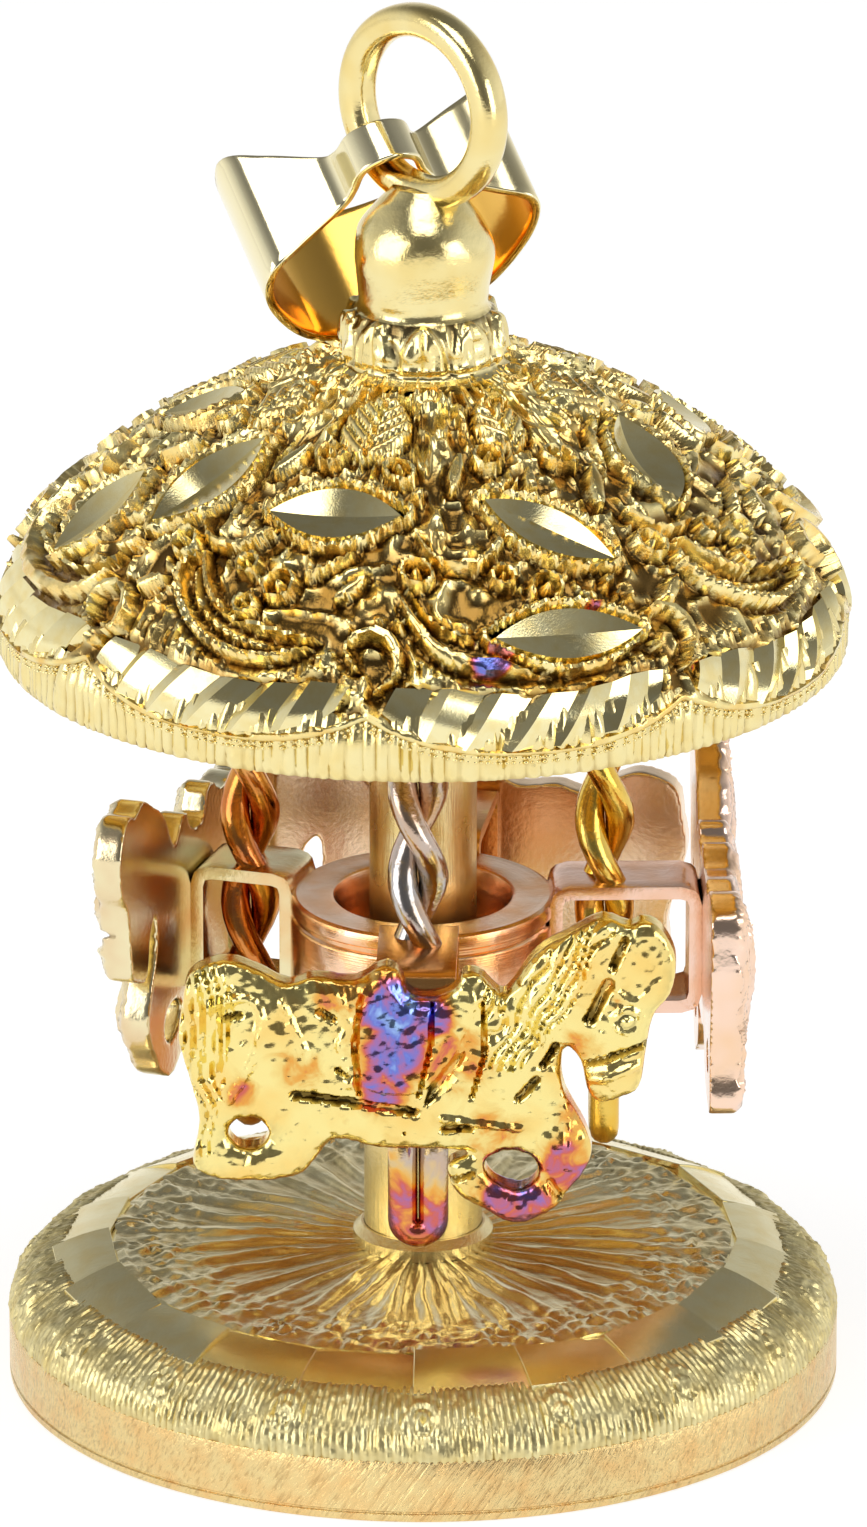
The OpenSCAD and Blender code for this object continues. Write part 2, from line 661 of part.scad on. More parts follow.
module bail() color(yellow_gold) at_eye() difference() {
    translate([0, 0, -bail_wide / 2]) linear_extrude(bail_wide) difference() {
        polygon(shift_loop(bail_line, bail_t / 2));
        polygon(shift_loop(bail_line, -bail_t / 2));
    }
    bail_taper();
    mirror([0, 0, 1]) bail_taper();
}

base_plate();
base_cover();
post_foot();
center_post();
post_sleeve();
thrust_collar();
hub_ring();
bracket(0);  // bracket_front
bracket(1);  // bracket_right
bracket(2);  // bracket_back
bracket(3);  // bracket_left
pole(0, steel_grey);  // pole_front
pole(1, fired_gold);  // pole_right
pole(2, fired_gold);  // pole_back
pole(3, fired_gold);  // pole_left
horse(0, yellow_gold);  // horse_front
horse(1, rose_gold);  // horse_right
horse(2, pink_gold);  // horse_back
horse(3, green_gold);  // horse_left
canopy();
canopy_bush();
finial();
loop_ring();
bail();
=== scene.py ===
"""Looks of a small gold carousel charm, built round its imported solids.

A domed, scalloped canopy and a round base are joined by a post. Four stamped horses
ride on twisted wire poles round a hub, and a pendant bail hangs in the loop ring.
Shapes are worked in millimetres on the bench and handed over in metres.
"""

from __future__ import annotations

import json
import logging
import math
from dataclasses import dataclass, field
from enum import Enum
from typing import Callable, Iterable, Sequence

import bpy
import numpy as np
from bpy.types import ID, Material, Node, NodeSocket, NodeTree, Object
from mathutils import Matrix, Vector

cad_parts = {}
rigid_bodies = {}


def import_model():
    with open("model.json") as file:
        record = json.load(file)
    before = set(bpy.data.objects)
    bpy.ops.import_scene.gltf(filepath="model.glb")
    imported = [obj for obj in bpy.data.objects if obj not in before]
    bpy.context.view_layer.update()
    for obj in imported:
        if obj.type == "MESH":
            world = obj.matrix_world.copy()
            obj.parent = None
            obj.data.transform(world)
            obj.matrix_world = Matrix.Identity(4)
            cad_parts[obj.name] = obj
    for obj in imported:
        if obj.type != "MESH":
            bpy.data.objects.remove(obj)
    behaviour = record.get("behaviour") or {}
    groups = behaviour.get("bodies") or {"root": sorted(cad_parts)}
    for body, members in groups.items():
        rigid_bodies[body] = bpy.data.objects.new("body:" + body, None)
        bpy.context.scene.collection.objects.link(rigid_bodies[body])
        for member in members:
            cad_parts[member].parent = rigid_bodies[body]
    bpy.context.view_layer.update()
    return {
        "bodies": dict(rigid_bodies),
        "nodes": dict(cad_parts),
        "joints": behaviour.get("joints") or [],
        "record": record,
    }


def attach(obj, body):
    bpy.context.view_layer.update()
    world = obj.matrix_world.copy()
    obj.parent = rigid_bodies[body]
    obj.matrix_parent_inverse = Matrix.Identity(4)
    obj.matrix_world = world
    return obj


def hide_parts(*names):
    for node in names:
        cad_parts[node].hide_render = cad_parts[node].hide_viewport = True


LOG = logging.getLogger("carousel")
MM = 0.001
FULL_TURN = 2 * math.pi
STRIP_R = 10.0                    # radius at which a strip is turned before it is bent to shape
MERGE_GAP = 1e-4                  # distance in millimetres below which vertices of a piece merge
CHAIN_GAP = 1e-5                  # the same for the points of a traced chain
Array = np.ndarray
Point = tuple[float, float]
Raised = tuple[Array, Array]  # a rise, and the distance beyond its edge


# ---------------------------------------------------------------- bench


class Bench:
    """Modelling steps that every piece shares."""

    @staticmethod
    def clear() -> None:
        """Leaves edit mode and deselects everything."""
        if bpy.context.object and bpy.context.object.mode != "OBJECT":
            bpy.ops.object.mode_set(mode="OBJECT")
        bpy.ops.object.select_all(action="DESELECT")

    @staticmethod
    def hold(*objs: Object) -> Object:
        """Selects objects and makes the last one active.

        Args:
            objs: The objects to select.

        Returns:
            The active object.
        """
        Bench.clear()
        for obj in objs:
            obj.select_set(True)
        bpy.context.view_layer.objects.active = objs[-1]
        return objs[-1]

    @staticmethod
    def edit(obj: Object, kind: str = "VERT") -> None:
        """Opens an object in edit mode with everything selected.

        Args:
            obj: The object to edit.
            kind: The select mode, VERT, EDGE or FACE.
        """
        Bench.hold(obj)
        bpy.ops.object.mode_set(mode="EDIT")
        bpy.ops.mesh.select_mode(type=kind)
        bpy.ops.mesh.select_all(action="SELECT")

    @staticmethod
    def bake_place(obj: Object) -> None:
        """Moves an object's place, turn and size into its mesh."""
        Bench.hold(obj)
        bpy.ops.object.transform_apply(location=True, rotation=True, scale=True)

    @staticmethod
    def coords(obj: Object) -> Array:
        """Gives the vertex positions as an n by 3 array."""
        flat = np.empty(len(obj.data.vertices) * 3)
        obj.data.vertices.foreach_get("co", flat)
        return flat.reshape(-1, 3)

    @staticmethod
    def put(obj: Object, places: Array) -> None:
        """Sets the vertex positions from an n by 3 array."""
        obj.data.vertices.foreach_set("co", places.ravel())
        obj.data.update()

    @staticmethod
    def pick(obj: Object, wanted: Callable[[Vector], bool]) -> None:
        """Selects the vertices whose place passes a test, in edit mode.

        Args:
            obj: The object in edit mode.
            wanted: The test of a vertex position.
        """
        bpy.ops.mesh.select_mode(type="VERT")
        bpy.ops.mesh.select_all(action="DESELECT")
        bpy.ops.object.mode_set(mode="OBJECT")
        for vertex in obj.data.vertices:
            vertex.select = wanted(vertex.co)
        bpy.ops.object.mode_set(mode="EDIT")

    @staticmethod
    def tidy(obj: Object) -> None:
        """Merges doubles and turns every face outwards."""
        Bench.edit(obj)
        bpy.ops.mesh.remove_doubles(threshold=MERGE_GAP)
        bpy.ops.mesh.normals_make_consistent(inside=False)
        Bench.clear()

    @staticmethod
    def trace(name: str, points: Sequence[Sequence[float]], closed: bool = False) -> Object:
        """Draws a chain of edges by extruding one vertex from point to point.

        Args:
            name: The object's name.
            points: The points to pass through.
            closed: Whether the last point joins the first.

        Returns:
            The chain, in object mode.
        """
        Bench.clear()
        bpy.ops.mesh.primitive_plane_add(size=0.1, location=points[0])
        obj = bpy.context.object
        obj.name = name
        Bench.bake_place(obj)
        Bench.edit(obj)
        bpy.ops.mesh.merge(type="CENTER")
        ends = list(points[1:]) + ([points[0]] if closed else [])
        last = Vector(points[0])
        for point in ends:
            step = Vector(point) - last
            bpy.ops.mesh.extrude_region_move(TRANSFORM_OT_translate={"value": step})
            last = Vector(point)
        bpy.ops.mesh.select_all(action="SELECT")
        bpy.ops.mesh.remove_doubles(threshold=CHAIN_GAP)
        Bench.clear()
        return obj

    @staticmethod
    def lathe(name: str, profile: Sequence[Point], steps: int) -> Object:
        """Turns a closed profile about the centre line.

        Args:
            name: The object's name.
            profile: Radius and height of each corner, once round.
            steps: The number of columns in a full turn.

        Returns:
            The turned solid.
        """
        obj = Bench.trace(name, [(r, 0.0, z) for r, z in profile], closed=True)
        Bench.edit(obj)
        bpy.ops.mesh.spin(steps=steps, angle=FULL_TURN, center=(0, 0, 0), axis=(0, 0, 1))
        Bench.tidy(obj)
        return obj

    @staticmethod
    def strip(name: str, rows: int, columns: int, away: float = STRIP_R, back_rows: int = 1) -> Object:
        """Turns a straight strip, one unit thick, whose rows are bent to shape afterwards.

        Args:
            name: The object's name.
            rows: The number of rows up its outer face, one unit each.
            columns: The number of columns in a full turn.
            away: The radius of its outer face.
            back_rows: The number of rows down its back.

        Returns:
            The strip.
        """
        outer = [(away, float(i)) for i in range(rows + 1)]
        back = [(away - 1, rows * (1 - i / back_rows)) for i in range(back_rows + 1)]
        return Bench.lathe(name, outer + back, columns)

    @staticmethod
    def unroll(strip: Object, rows: int, away: float = STRIP_R) -> tuple[Array, Array, Array]:
        """Reads the places of a strip.

        Args:
            strip: The strip.
            rows: The number of rows up its outer face.
            away: The radius of its outer face.

        Returns:
            The angle of each vertex, its share of the height, and whether it is on the outer face.
        """
        places = Bench.coords(strip)
        outer = np.hypot(places[:, 0], places[:, 1]) > away - 0.5
        return Bench.turns(places), places[:, 2] / rows, outer

    @staticmethod
    def turns(places: Array) -> Array:
        """Gives the angle of each place about the centre line, from the front to the right."""
        return np.arctan2(places[:, 0], -places[:, 1])

    @staticmethod
    def put_round(obj: Object, r: Array, turn: Array, z: Array) -> None:
        """Sets the vertex positions from their radius, angle and height."""
        Bench.put(obj, np.stack([r * np.sin(turn), -r * np.cos(turn), z], 1))

    @staticmethod
    def emboss(obj: Object, heights: Array, levels: int = 600) -> None:
        """Raises a surface along its normals and keeps the height for its finish.

        Args:
            obj: The object to work.
            heights: The rise of each vertex in millimetres, none below zero.
            levels: The number of steps between the lowest and the highest.
        """
        top = max(float(heights.max()), 1e-6)
        share = np.rint(heights / top * levels).astype(int)
        group = obj.vertex_groups.new(name="rise")
        order = np.argsort(share, kind="stable")
        cuts = np.searchsorted(share[order], np.arange(levels + 2))
        for level in range(1, levels + 1):
            members = order[cuts[level]:cuts[level + 1]]
            if len(members):
                group.add(members.tolist(), level / levels, "REPLACE")
        modifier = obj.modifiers.new("rise", "DISPLACE")
        modifier.vertex_group = group.name
        modifier.mid_level = 0.0
        modifier.strength = top
        Bench.hold(obj)
        bpy.ops.object.modifier_apply(modifier=modifier.name)
        obj.vertex_groups.clear()
        Bench.mark(obj, heights / top)

    @staticmethod
    def emboss_up(obj: Object, rise: Array) -> None:
        """Moves a plate's face along Z by a signed rise in millimetres."""
        places = Bench.coords(obj)
        places[:, 2] += rise
        Bench.put(obj, places)

    @staticmethod
    def mark(obj: Object, values: Array, name: str = "relief") -> None:
        """Stores one number for each vertex for the finish to read.

        Args:
            obj: The object.
            values: The numbers.
            name: The attribute's name.
        """
        attribute = obj.data.attributes.get(name) or obj.data.attributes.new(name, "FLOAT", "POINT")
        attribute.data.foreach_set("value", np.asarray(values, dtype=np.float32))

    @staticmethod
    def copies(master: Object, places: Iterable[Matrix], name: str) -> Object:
        """Repeats one modelled shape, each copy with its own mesh, as one piece.

        Args:
            master: The shape, which is used up.
            places: Where each copy goes.
            name: The name of the piece.

        Returns:
            The joined piece.
        """
        made = []
        for place in places:
            mesh = master.data.copy()
            mesh.transform(place)
            if place.determinant() < 0:
                mesh.flip_normals()
            made.append(Bench.new(name, mesh))
        bpy.data.objects.remove(master)
        Bench.hold(*made)
        if len(made) > 1:
            bpy.ops.object.join()
        piece = bpy.context.object
        piece.name = name
        return piece

    @staticmethod
    def new(name: str, data: ID) -> Object:
        """Makes an object of a mesh, a light or a camera and links it to the scene."""
        obj = bpy.data.objects.new(name, data)
        bpy.context.collection.objects.link(obj)
        return obj

    @staticmethod
    def fuse(name: str, *objs: Object) -> Object:
        """Joins finished shapes into one piece."""
        Bench.hold(*objs)
        bpy.ops.object.join()
        bpy.context.object.name = name
        return bpy.context.object

    @staticmethod
    def apply(obj: Object, kind: str, **settings: object) -> None:
        """Adds a modifier with settings and applies it.

        Args:
            obj: The object.
            kind: The modifier's type.
            settings: Its properties by name.
        """
        modifier = obj.modifiers.new(kind.lower(), kind)
        for key, value in settings.items():
            setattr(modifier, key, value)
        Bench.hold(obj)
        bpy.ops.object.modifier_apply(modifier=modifier.name)

    @staticmethod
    def thicken(strap: Object, sheet: float, rounding: float, segments: int) -> None:
        """Gives a bent strap its thickness about the middle and rounds its edges.

        Args:
            strap: The strap, as a sheet without thickness.
            sheet: Its thickness.
            rounding: How wide the rounding of its edges is.
            segments: The number of steps in the rounding.
        """
        Bench.apply(strap, "SOLIDIFY", thickness=sheet, offset=0.0, use_even_offset=True)
        Bench.apply(strap, "BEVEL", width=rounding, segments=segments, limit_method="ANGLE",
                    angle_limit=math.radians(60))

    @staticmethod
    def deliver(
        obj: Object,
        body: str,
        finish: "Finish",
        stands_for: Sequence[str] = (),
        sharp: float = 35.0,
    ) -> Object:
        """Hands a piece over in metres, dressed and tied to its body.

        Args:
            obj: The piece, in millimetres.
            body: The body that it moves with.
            finish: Its finish.
            stands_for: The solids that it replaces.
            sharp: The angle in degrees above which an edge stays sharp.

        Returns:
            The piece.
        """
        Bench.bake_place(obj)
        obj.scale = (MM, MM, MM)
        Bench.bake_place(obj)
        bpy.ops.object.shade_smooth_by_angle(angle=math.radians(sharp))
        obj.data.materials.clear()
        obj.data.materials.append(finish.material())
        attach(obj, body)
        if stands_for:
            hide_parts(*stands_for)
        LOG.info("%s: %d faces on %s", obj.name, len(obj.data.polygons), body)
        return obj


def smooth_loop(points: Sequence[Point], between: int, closed: bool = True) -> list[Point]:
    """Rounds a chain of points into a smooth curve through all of them.

    Args:
        points: The points.
        between: The number of points on each span.
        closed: Whether the chain closes.

    Returns:
        The points of the curve.
    """
    count = len(points)
    out: list[Point] = []
    spans = count if closed else count - 1
    for i in range(spans):
        def at(k: int) -> Array:
            """Gives a neighbour, held at the ends of an open chain."""
            return np.array(points[k % count] if closed else points[min(max(k, 0), count - 1)])
        a, b, c, d = at(i - 1), at(i), at(i + 1), at(i + 2)
        for k in range(between):
            t = k / between
            p = 0.5 * (2 * b + (c - a) * t + (2 * a - 5 * b + 4 * c - d) * t * t
                       + (3 * b - a - 3 * c + d) * t ** 3)
            out.append((float(p[0]), float(p[1])))
    if not closed:
        out.append(tuple(map(float, points[-1])))
    return out


def nearest(x: Array, y: Array, chain: Sequence[Point],
            closed: bool = False) -> tuple[Array, Array]:
    """Finds how far each place lies from a chain of points, and where along it.

    Args:
        x: Places across.
        y: Places up.
        chain: The chain.
        closed: Whether the chain closes.

    Returns:
        The distances, and the lengths along the chain to the nearest points.
    """
    best, along = np.full(x.shape, 1e9), np.zeros(x.shape)
    points = list(chain) + ([chain[0]] if closed else [])
    run = 0.0
    for (ax, ay), (bx, by) in zip(points, points[1:]):
        dx, dy = bx - ax, by - ay
        size = max(math.hypot(dx, dy), 1e-6)
        t = np.clip(((x - ax) * dx + (y - ay) * dy) / size ** 2, 0, 1)
        away = np.hypot(x - ax - t * dx, y - ay - t * dy)
        along = np.where(away < best, run + t * size, along)
        best = np.minimum(best, away)
        run += size
    return best, along


def crest(values: Array, power: float = 2.0) -> Array:
    """Turns smooth random values into sharp crests with broad hollows between."""
    return (1 - 2 * np.abs(values - 0.5)) ** power


def beads(along: Array, pitch: float) -> Array:
    """A row of round beads along a line, 0 between them and 1 on top."""
    return np.sqrt(np.abs(np.sin(math.pi * along / pitch)))


def bump(distance: Array, reach: float) -> Array:
    """A soft hill, 1 at the middle and 0 beyond its reach."""
    t = np.clip(1 - distance / reach, 0, 1)
    return t * t * (3 - 2 * t)


def mesa(distance: Array, reach: float, gain: float = 1.5) -> Array:
    """A soft hill made steeper by a gain and cut flat on top."""
    return np.clip(gain * bump(distance, reach), 0, 1)


def inside(x: Array, y: Array, loop: Sequence[Point]) -> Array:
    """Tells which places lie inside a closed loop of points."""
    hit = np.zeros(x.shape, bool)
    for (ax, ay), (bx, by) in zip(loop, list(loop[1:]) + [loop[0]]):
        crosses = (ay > y) != (by > y)
        with np.errstate(divide="ignore", invalid="ignore"):
            hit ^= crosses & (x < (bx - ax) * (y - ay) / (by - ay) + ax)
    return hit


def placed(side: Vector, up: Vector, out: Vector, spot: Vector) -> Matrix:
    """Gives the place of a shape from the directions of its X, Y and Z and its spot."""
    place = Matrix((side, up, out)).transposed().to_4x4()
    place.translation = spot
    return place


class Grain:
    """Smooth random values on a lattice that closes on itself across."""

    def __init__(self, seed: int) -> None:
        """Keeps the seed of the lattice."""
        self.seed = seed

    def __call__(self, x: Array, y: Array, across: int, up: float) -> Array:
        """Samples the lattice.

        Args:
            x: Place across, 0 to 1 once round.
            y: Place up, none below zero.
            across: The number of cells once round.
            up: The height of a cell, in the unit of y.

        Returns:
            Values from 0 to 1.
        """
        draws = np.random.default_rng(self.seed + across)
        rows = int(np.ceil(y.max() / up)) + 3
        grid = draws.random((across, rows))
        u, v = (x % 1.0) * across, np.clip(y / up, 0, rows - 2)
        i, j = np.floor(u).astype(int), np.floor(v).astype(int)
        s, t = u - i, v - j
        s, t = s * s * (3 - 2 * s), t * t * (3 - 2 * t)
        i0, i1 = i % across, (i + 1) % across
        low = grid[i0, j] * (1 - s) + grid[i1, j] * s
        high = grid[i0, j + 1] * (1 - s) + grid[i1, j + 1] * s
        return low * (1 - t) + high * t


# ---------------------------------------------------------------- finishes


MARK_SLANT = 35.0                 # how far slanted tool marks lean, in degrees
MARK_STRETCH = 25.0               # how many times longer than wide a tool mark is


class Lines(Enum):
    """The way in which tool marks run over a finish."""

    NONE = "none"
    UPRIGHT = "upright"
    TURNED = "turned"
    SLANTED = "slanted"


class NodeKit:
    """Adds and joins shader nodes in one tree."""

    def __init__(self, tree: NodeTree) -> None:
        """Keeps the tree to work in."""
        self.tree = tree

    @classmethod
    def blank(cls, owner: ID) -> "NodeKit":
        """Empties the node tree of a material or a world and gives its kit."""
        owner.use_nodes = True
        owner.node_tree.nodes.clear()
        return cls(owner.node_tree)

    def add(self, kind: str, sockets: dict | None = None, **settings: object) -> Node:
        """Adds a node.

        Args:
            kind: The node's type.
            sockets: Values or output sockets for its inputs, by name or number.
            settings: The node's own properties.

        Returns:
            The node.
        """
        node = self.tree.nodes.new(kind)
        for key, value in settings.items():
            setattr(node, key, value)
        for key, value in (sockets or {}).items():
            if isinstance(value, NodeSocket):
                self.tree.links.new(value, node.inputs[key])
            else:
                node.inputs[key].default_value = value
        return node

    def math(self, operation: str, a: object, b: object = 0.0, clamp: bool = False) -> NodeSocket:
        """Adds a math node and gives its output."""
        return self.add("ShaderNodeMath", {0: a, 1: b}, operation=operation, use_clamp=clamp).outputs[0]

    def mix(self, share: object, a: object, b: object) -> NodeSocket:
        """Adds a colour mix node and gives its output."""
        return self.add("ShaderNodeMix", {0: share, 6: a, 7: b}, data_type="RGBA").outputs[2]

    def group(self, tree: NodeTree, sockets: dict) -> Node:
        """Adds a node group with its inputs, by name."""
        return self.add("ShaderNodeGroup", sockets, node_tree=tree)

    def ramp(self, value: NodeSocket, stops: Sequence[tuple[float, tuple]]) -> NodeSocket:
        """Adds a colour ramp and gives its colour.

        Args:
            value: The value that it reads.
            stops: Place and colour of each stop.

        Returns:
            The colour output.
        """
        node = self.add("ShaderNodeValToRGB", {0: value})
        ramp = node.color_ramp
        while len(ramp.elements) < len(stops):
            ramp.elements.new(0.5)
        for element, (place, colour) in zip(ramp.elements, stops):
            element.position = place
            element.color = colour
        return node.outputs[0]


class EffectGroups:
    """The node groups that several finishes share, each built once."""

    @staticmethod
    def _open(name: str, inputs: dict[str, str], outputs: dict[str, str]) -> tuple:
        """Starts a group with named sockets.

        Args:
            name: The group's name.
            inputs: Input names and socket kinds.
            outputs: Output names and socket kinds.

        Returns:
            The group, its node kit, its input node and its output node.
        """
        tree = bpy.data.node_groups.new(name, "ShaderNodeTree")
        for label, kind in inputs.items():
            tree.interface.new_socket(label, in_out="INPUT", socket_type="NodeSocket" + kind)
        for label, kind in outputs.items():
            tree.interface.new_socket(label, in_out="OUTPUT", socket_type="NodeSocket" + kind)
        kit = NodeKit(tree)
        return tree, kit, kit.add("NodeGroupInput"), kit.add("NodeGroupOutput")

    @classmethod
    def grain(cls) -> NodeTree:
        """Fine cast grain: a height and a slow drift of tone."""
        if "cast grain" in bpy.data.node_groups:
            return bpy.data.node_groups["cast grain"]
        tree, kit, entry, leave = cls._open(
            "cast grain", {"Vector": "Vector", "Cells": "Float"}, {"Height": "Float", "Drift": "Float"})
        fine = kit.add("ShaderNodeTexNoise", {"Vector": entry.outputs[0], "Scale": entry.outputs[1],
                                              "Detail": 4.0, "Roughness": 0.62})
        slow = kit.add("ShaderNodeTexNoise", {"Vector": entry.outputs[0],
                                              "Scale": kit.math("MULTIPLY", entry.outputs[1], 0.12),
                                              "Detail": 2.0})
        tree.links.new(fine.outputs[0], leave.inputs[0])
        tree.links.new(slow.outputs[0], leave.inputs[1])
        return tree

    @classmethod
    def strokes(cls) -> NodeTree:
        """Long fine tool marks along whichever way the vector is stretched."""
        if "tool strokes" in bpy.data.node_groups:
            return bpy.data.node_groups["tool strokes"]
        tree, kit, entry, leave = cls._open(
            "tool strokes", {"Vector": "Vector", "Cells": "Float"}, {"Height": "Float"})
        broad = kit.add("ShaderNodeTexNoise", {"Vector": entry.outputs[0], "Scale": entry.outputs[1],
                                               "Detail": 3.0, "Roughness": 0.7})
        tree.links.new(broad.outputs[0], leave.inputs[0])
        return tree

    @classmethod
    def heat(cls) -> NodeTree:
        """Heat tint that runs from gold through orange and rose to blue."""
        if "heat tint" in bpy.data.node_groups:
            return bpy.data.node_groups["heat tint"]
        tree, kit, entry, leave = cls._open(
            "heat tint", {"Vector": "Vector", "Color": "Color", "Amount": "Float", "Cells": "Float"},
            {"Color": "Color"})
        noise = kit.add("ShaderNodeTexNoise", {"Vector": entry.outputs["Vector"],
                                               "Scale": entry.outputs["Cells"], "Detail": 3.0,
                                               "Roughness": 0.55, "Distortion": 0.6})
        level = kit.math("ADD", kit.math("MULTIPLY", noise.outputs[0], 0.9),
                         kit.math("SUBTRACT", entry.outputs["Amount"], 0.55))
        tint = kit.ramp(level, [
            (0.30, (0.80, 0.55, 0.16, 1)), (0.44, (0.78, 0.36, 0.07, 1)), (0.54, (0.62, 0.14, 0.10, 1)),
            (0.64, (0.42, 0.16, 0.34, 1)), (0.76, (0.16, 0.20, 0.62, 1)), (0.90, (0.34, 0.52, 0.86, 1))])
        mask = kit.math("MULTIPLY", kit.math("SUBTRACT", level, 0.18, clamp=True), 5.0, clamp=True)
        tree.links.new(kit.mix(mask, entry.outputs["Color"], tint), leave.inputs[0])
        return tree

    @classmethod
    def recess_shade(cls) -> NodeTree:
        """Painted shade in the low places of a relief."""
        if "recess tone" in bpy.data.node_groups:
            return bpy.data.node_groups["recess tone"]
        tree, kit, entry, leave = cls._open(
            "recess tone", {"Color": "Color", "Dark": "Color", "Relief": "Float", "Amount": "Float"},
            {"Color": "Color"})
        low = kit.math("SUBTRACT", 1.0, kit.math("MULTIPLY", entry.outputs["Relief"], 2.2), clamp=True)
        share = kit.math("MULTIPLY", kit.math("POWER", low, 1.4), entry.outputs["Amount"])
        tree.links.new(kit.mix(share, entry.outputs["Color"], entry.outputs["Dark"]), leave.inputs[0])
        return tree


@dataclass(frozen=True)
class Finish:
    """One metal finish: its colour, gloss, grain, tool marks, tint, painted shade in its low places and,
    where set, a painted reflection on inner faces.
    """

    name: str
    slot: str
    colour: tuple[float, float, float]
    rough: float = 0.16
    grain: float = 0.004          # depth of the grain in millimetres
    cell: float = 0.09            # size of the grain in millimetres
    lines: Lines = Lines.NONE
    line_depth: float = 0.0       # depth of the tool marks in millimetres
    line_cell: float = 0.05       # width of the tool marks in millimetres
    heat: float = 0.0             # level of the heat tint, 0 for none and less where only stains show
    heat_cell: float = 0.8        # size of the tint's patches in millimetres
    line_shade: float = 0.0        # how much painted shade the grooves of the tool marks get
    recess_shade: float = 0.0           # share of painted shade in the low places
    # the colour of the painted shade
    painted_dark: tuple[float, float, float] = (0.20, 0.10, 0.02)
    warm: tuple[float, float, float] | None = None  # the other tone that the colour drifts to
    inner: tuple[float, float, float] | None = None  # the colour of the faces marked as inner, a painted reflection inside a loop
    stained: float = 0.0          # how far the places marked as stained are tinted by heat

    def material(self) -> Material:
        """Builds the finish once and gives its material."""
        if self.name in bpy.data.materials:
            return bpy.data.materials[self.name]
        made = bpy.data.materials.new(self.name)
        kit = NodeKit.blank(made)
        place = kit.add("ShaderNodeTexCoord").outputs["Object"]
        grain = kit.group(EffectGroups.grain(), {"Vector": place, "Cells": 1 / (self.cell * MM)})
        tone = self._tone(kit, place, grain.outputs["Drift"])
        height, depth = grain.outputs["Height"], self.grain
        if self.lines is not Lines.NONE:
            marks = self._marks(kit, place)
            height = kit.math("ADD", kit.math("MULTIPLY", height, self.grain / self.line_depth), marks)
            depth = self.line_depth
            # Painted shade in the grooves of the tool marks.
            low = kit.math("MULTIPLY", kit.math("SUBTRACT", 0.50, marks, clamp=True), 6.0, clamp=True)
            tone = kit.mix(kit.math("MULTIPLY", low, self.line_shade), tone, (*self.painted_dark, 1))
        surface = kit.add("ShaderNodeBump", {"Strength": 1.0, "Distance": depth * MM, "Height": height})
        gloss = kit.math("ADD", self.rough - 0.04, kit.math("MULTIPLY", grain.outputs["Drift"], 0.08))
        shader = kit.add("ShaderNodeBsdfPrincipled", {
            "Base Color": tone, "Metallic": 1.0, "Roughness": gloss, "Normal": surface.outputs[0]})
        out = kit.add("ShaderNodeOutputMaterial")
        made.node_tree.links.new(shader.outputs[0], out.inputs[0])
        return made

    def _tone(self, kit: NodeKit, place: NodeSocket, drift: NodeSocket) -> NodeSocket:
        """Works out the colour over the surface, with its painted shade and painted reflection.

        Args:
            kit: The material's node kit.
            place: Object coordinates.
            drift: The slow drift of tone.

        Returns:
            The colour.
        """
        other = self.warm or tuple(c * k for c, k in zip(self.colour, (0.97, 0.90, 0.74)))
        share = kit.math("MULTIPLY", kit.math("SUBTRACT", drift, 0.38, clamp=True), 3.0, clamp=True)
        tone = kit.mix(share, (*self.colour, 1), (*other, 1))
        # Painted reflection: the faces marked as inner take the inner colour.
        if self.inner:
            reflected_share = kit.add("ShaderNodeAttribute", attribute_name="inner").outputs["Fac"]
            tone = kit.mix(reflected_share, tone, (*self.inner, 1))
        # Painted shade in the low places of the relief, read from the relief mark.
        if self.recess_shade > 0:
            relief = kit.add("ShaderNodeAttribute", attribute_name="relief").outputs["Fac"]
            tone = kit.group(EffectGroups.recess_shade(), {
                "Color": tone, "Relief": relief, "Dark": (*self.painted_dark, 1),
                "Amount": self.recess_shade}).outputs[0]
        if self.heat > 0 or self.stained > 0:
            stain = kit.add("ShaderNodeAttribute", attribute_name="stain").outputs["Fac"]
            amount = kit.math("ADD", self.heat, kit.math("MULTIPLY", stain, self.stained))
            tone = kit.group(EffectGroups.heat(), {
                "Vector": place, "Color": tone, "Amount": amount,
                "Cells": 1 / (self.heat_cell * MM)}).outputs[0]
        return tone

    def _marks(self, kit: NodeKit, place: NodeSocket) -> NodeSocket:
        """Works out the height of the tool marks.

        Args:
            kit: The material's node kit.
            place: Object coordinates.

        Returns:
            The height, 0 to 1.
        """
        if self.lines is Lines.TURNED:
            split = kit.add("ShaderNodeSeparateXYZ", {0: place})
            flat = kit.add("ShaderNodeCombineXYZ", {0: split.outputs[0], 1: split.outputs[1]})
            length = kit.add("ShaderNodeVectorMath", {0: flat.outputs[0]}, operation="LENGTH")
            around = kit.add("ShaderNodeCombineXYZ", {0: length.outputs["Value"], 1: split.outputs[2]})
            vector = around.outputs[0]
        else:
            turn = 0.0 if self.lines is Lines.UPRIGHT else math.radians(MARK_SLANT)
            vector = kit.add("ShaderNodeMapping", {
                "Vector": place, "Rotation": (0.0, turn, 0.0), "Scale": (1.0, 1.0, MARK_STRETCH)},
                vector_type="TEXTURE").outputs[0]
        return kit.group(EffectGroups.strokes(), {
            "Vector": vector, "Cells": 1 / (self.line_cell * MM)}).outputs[0]


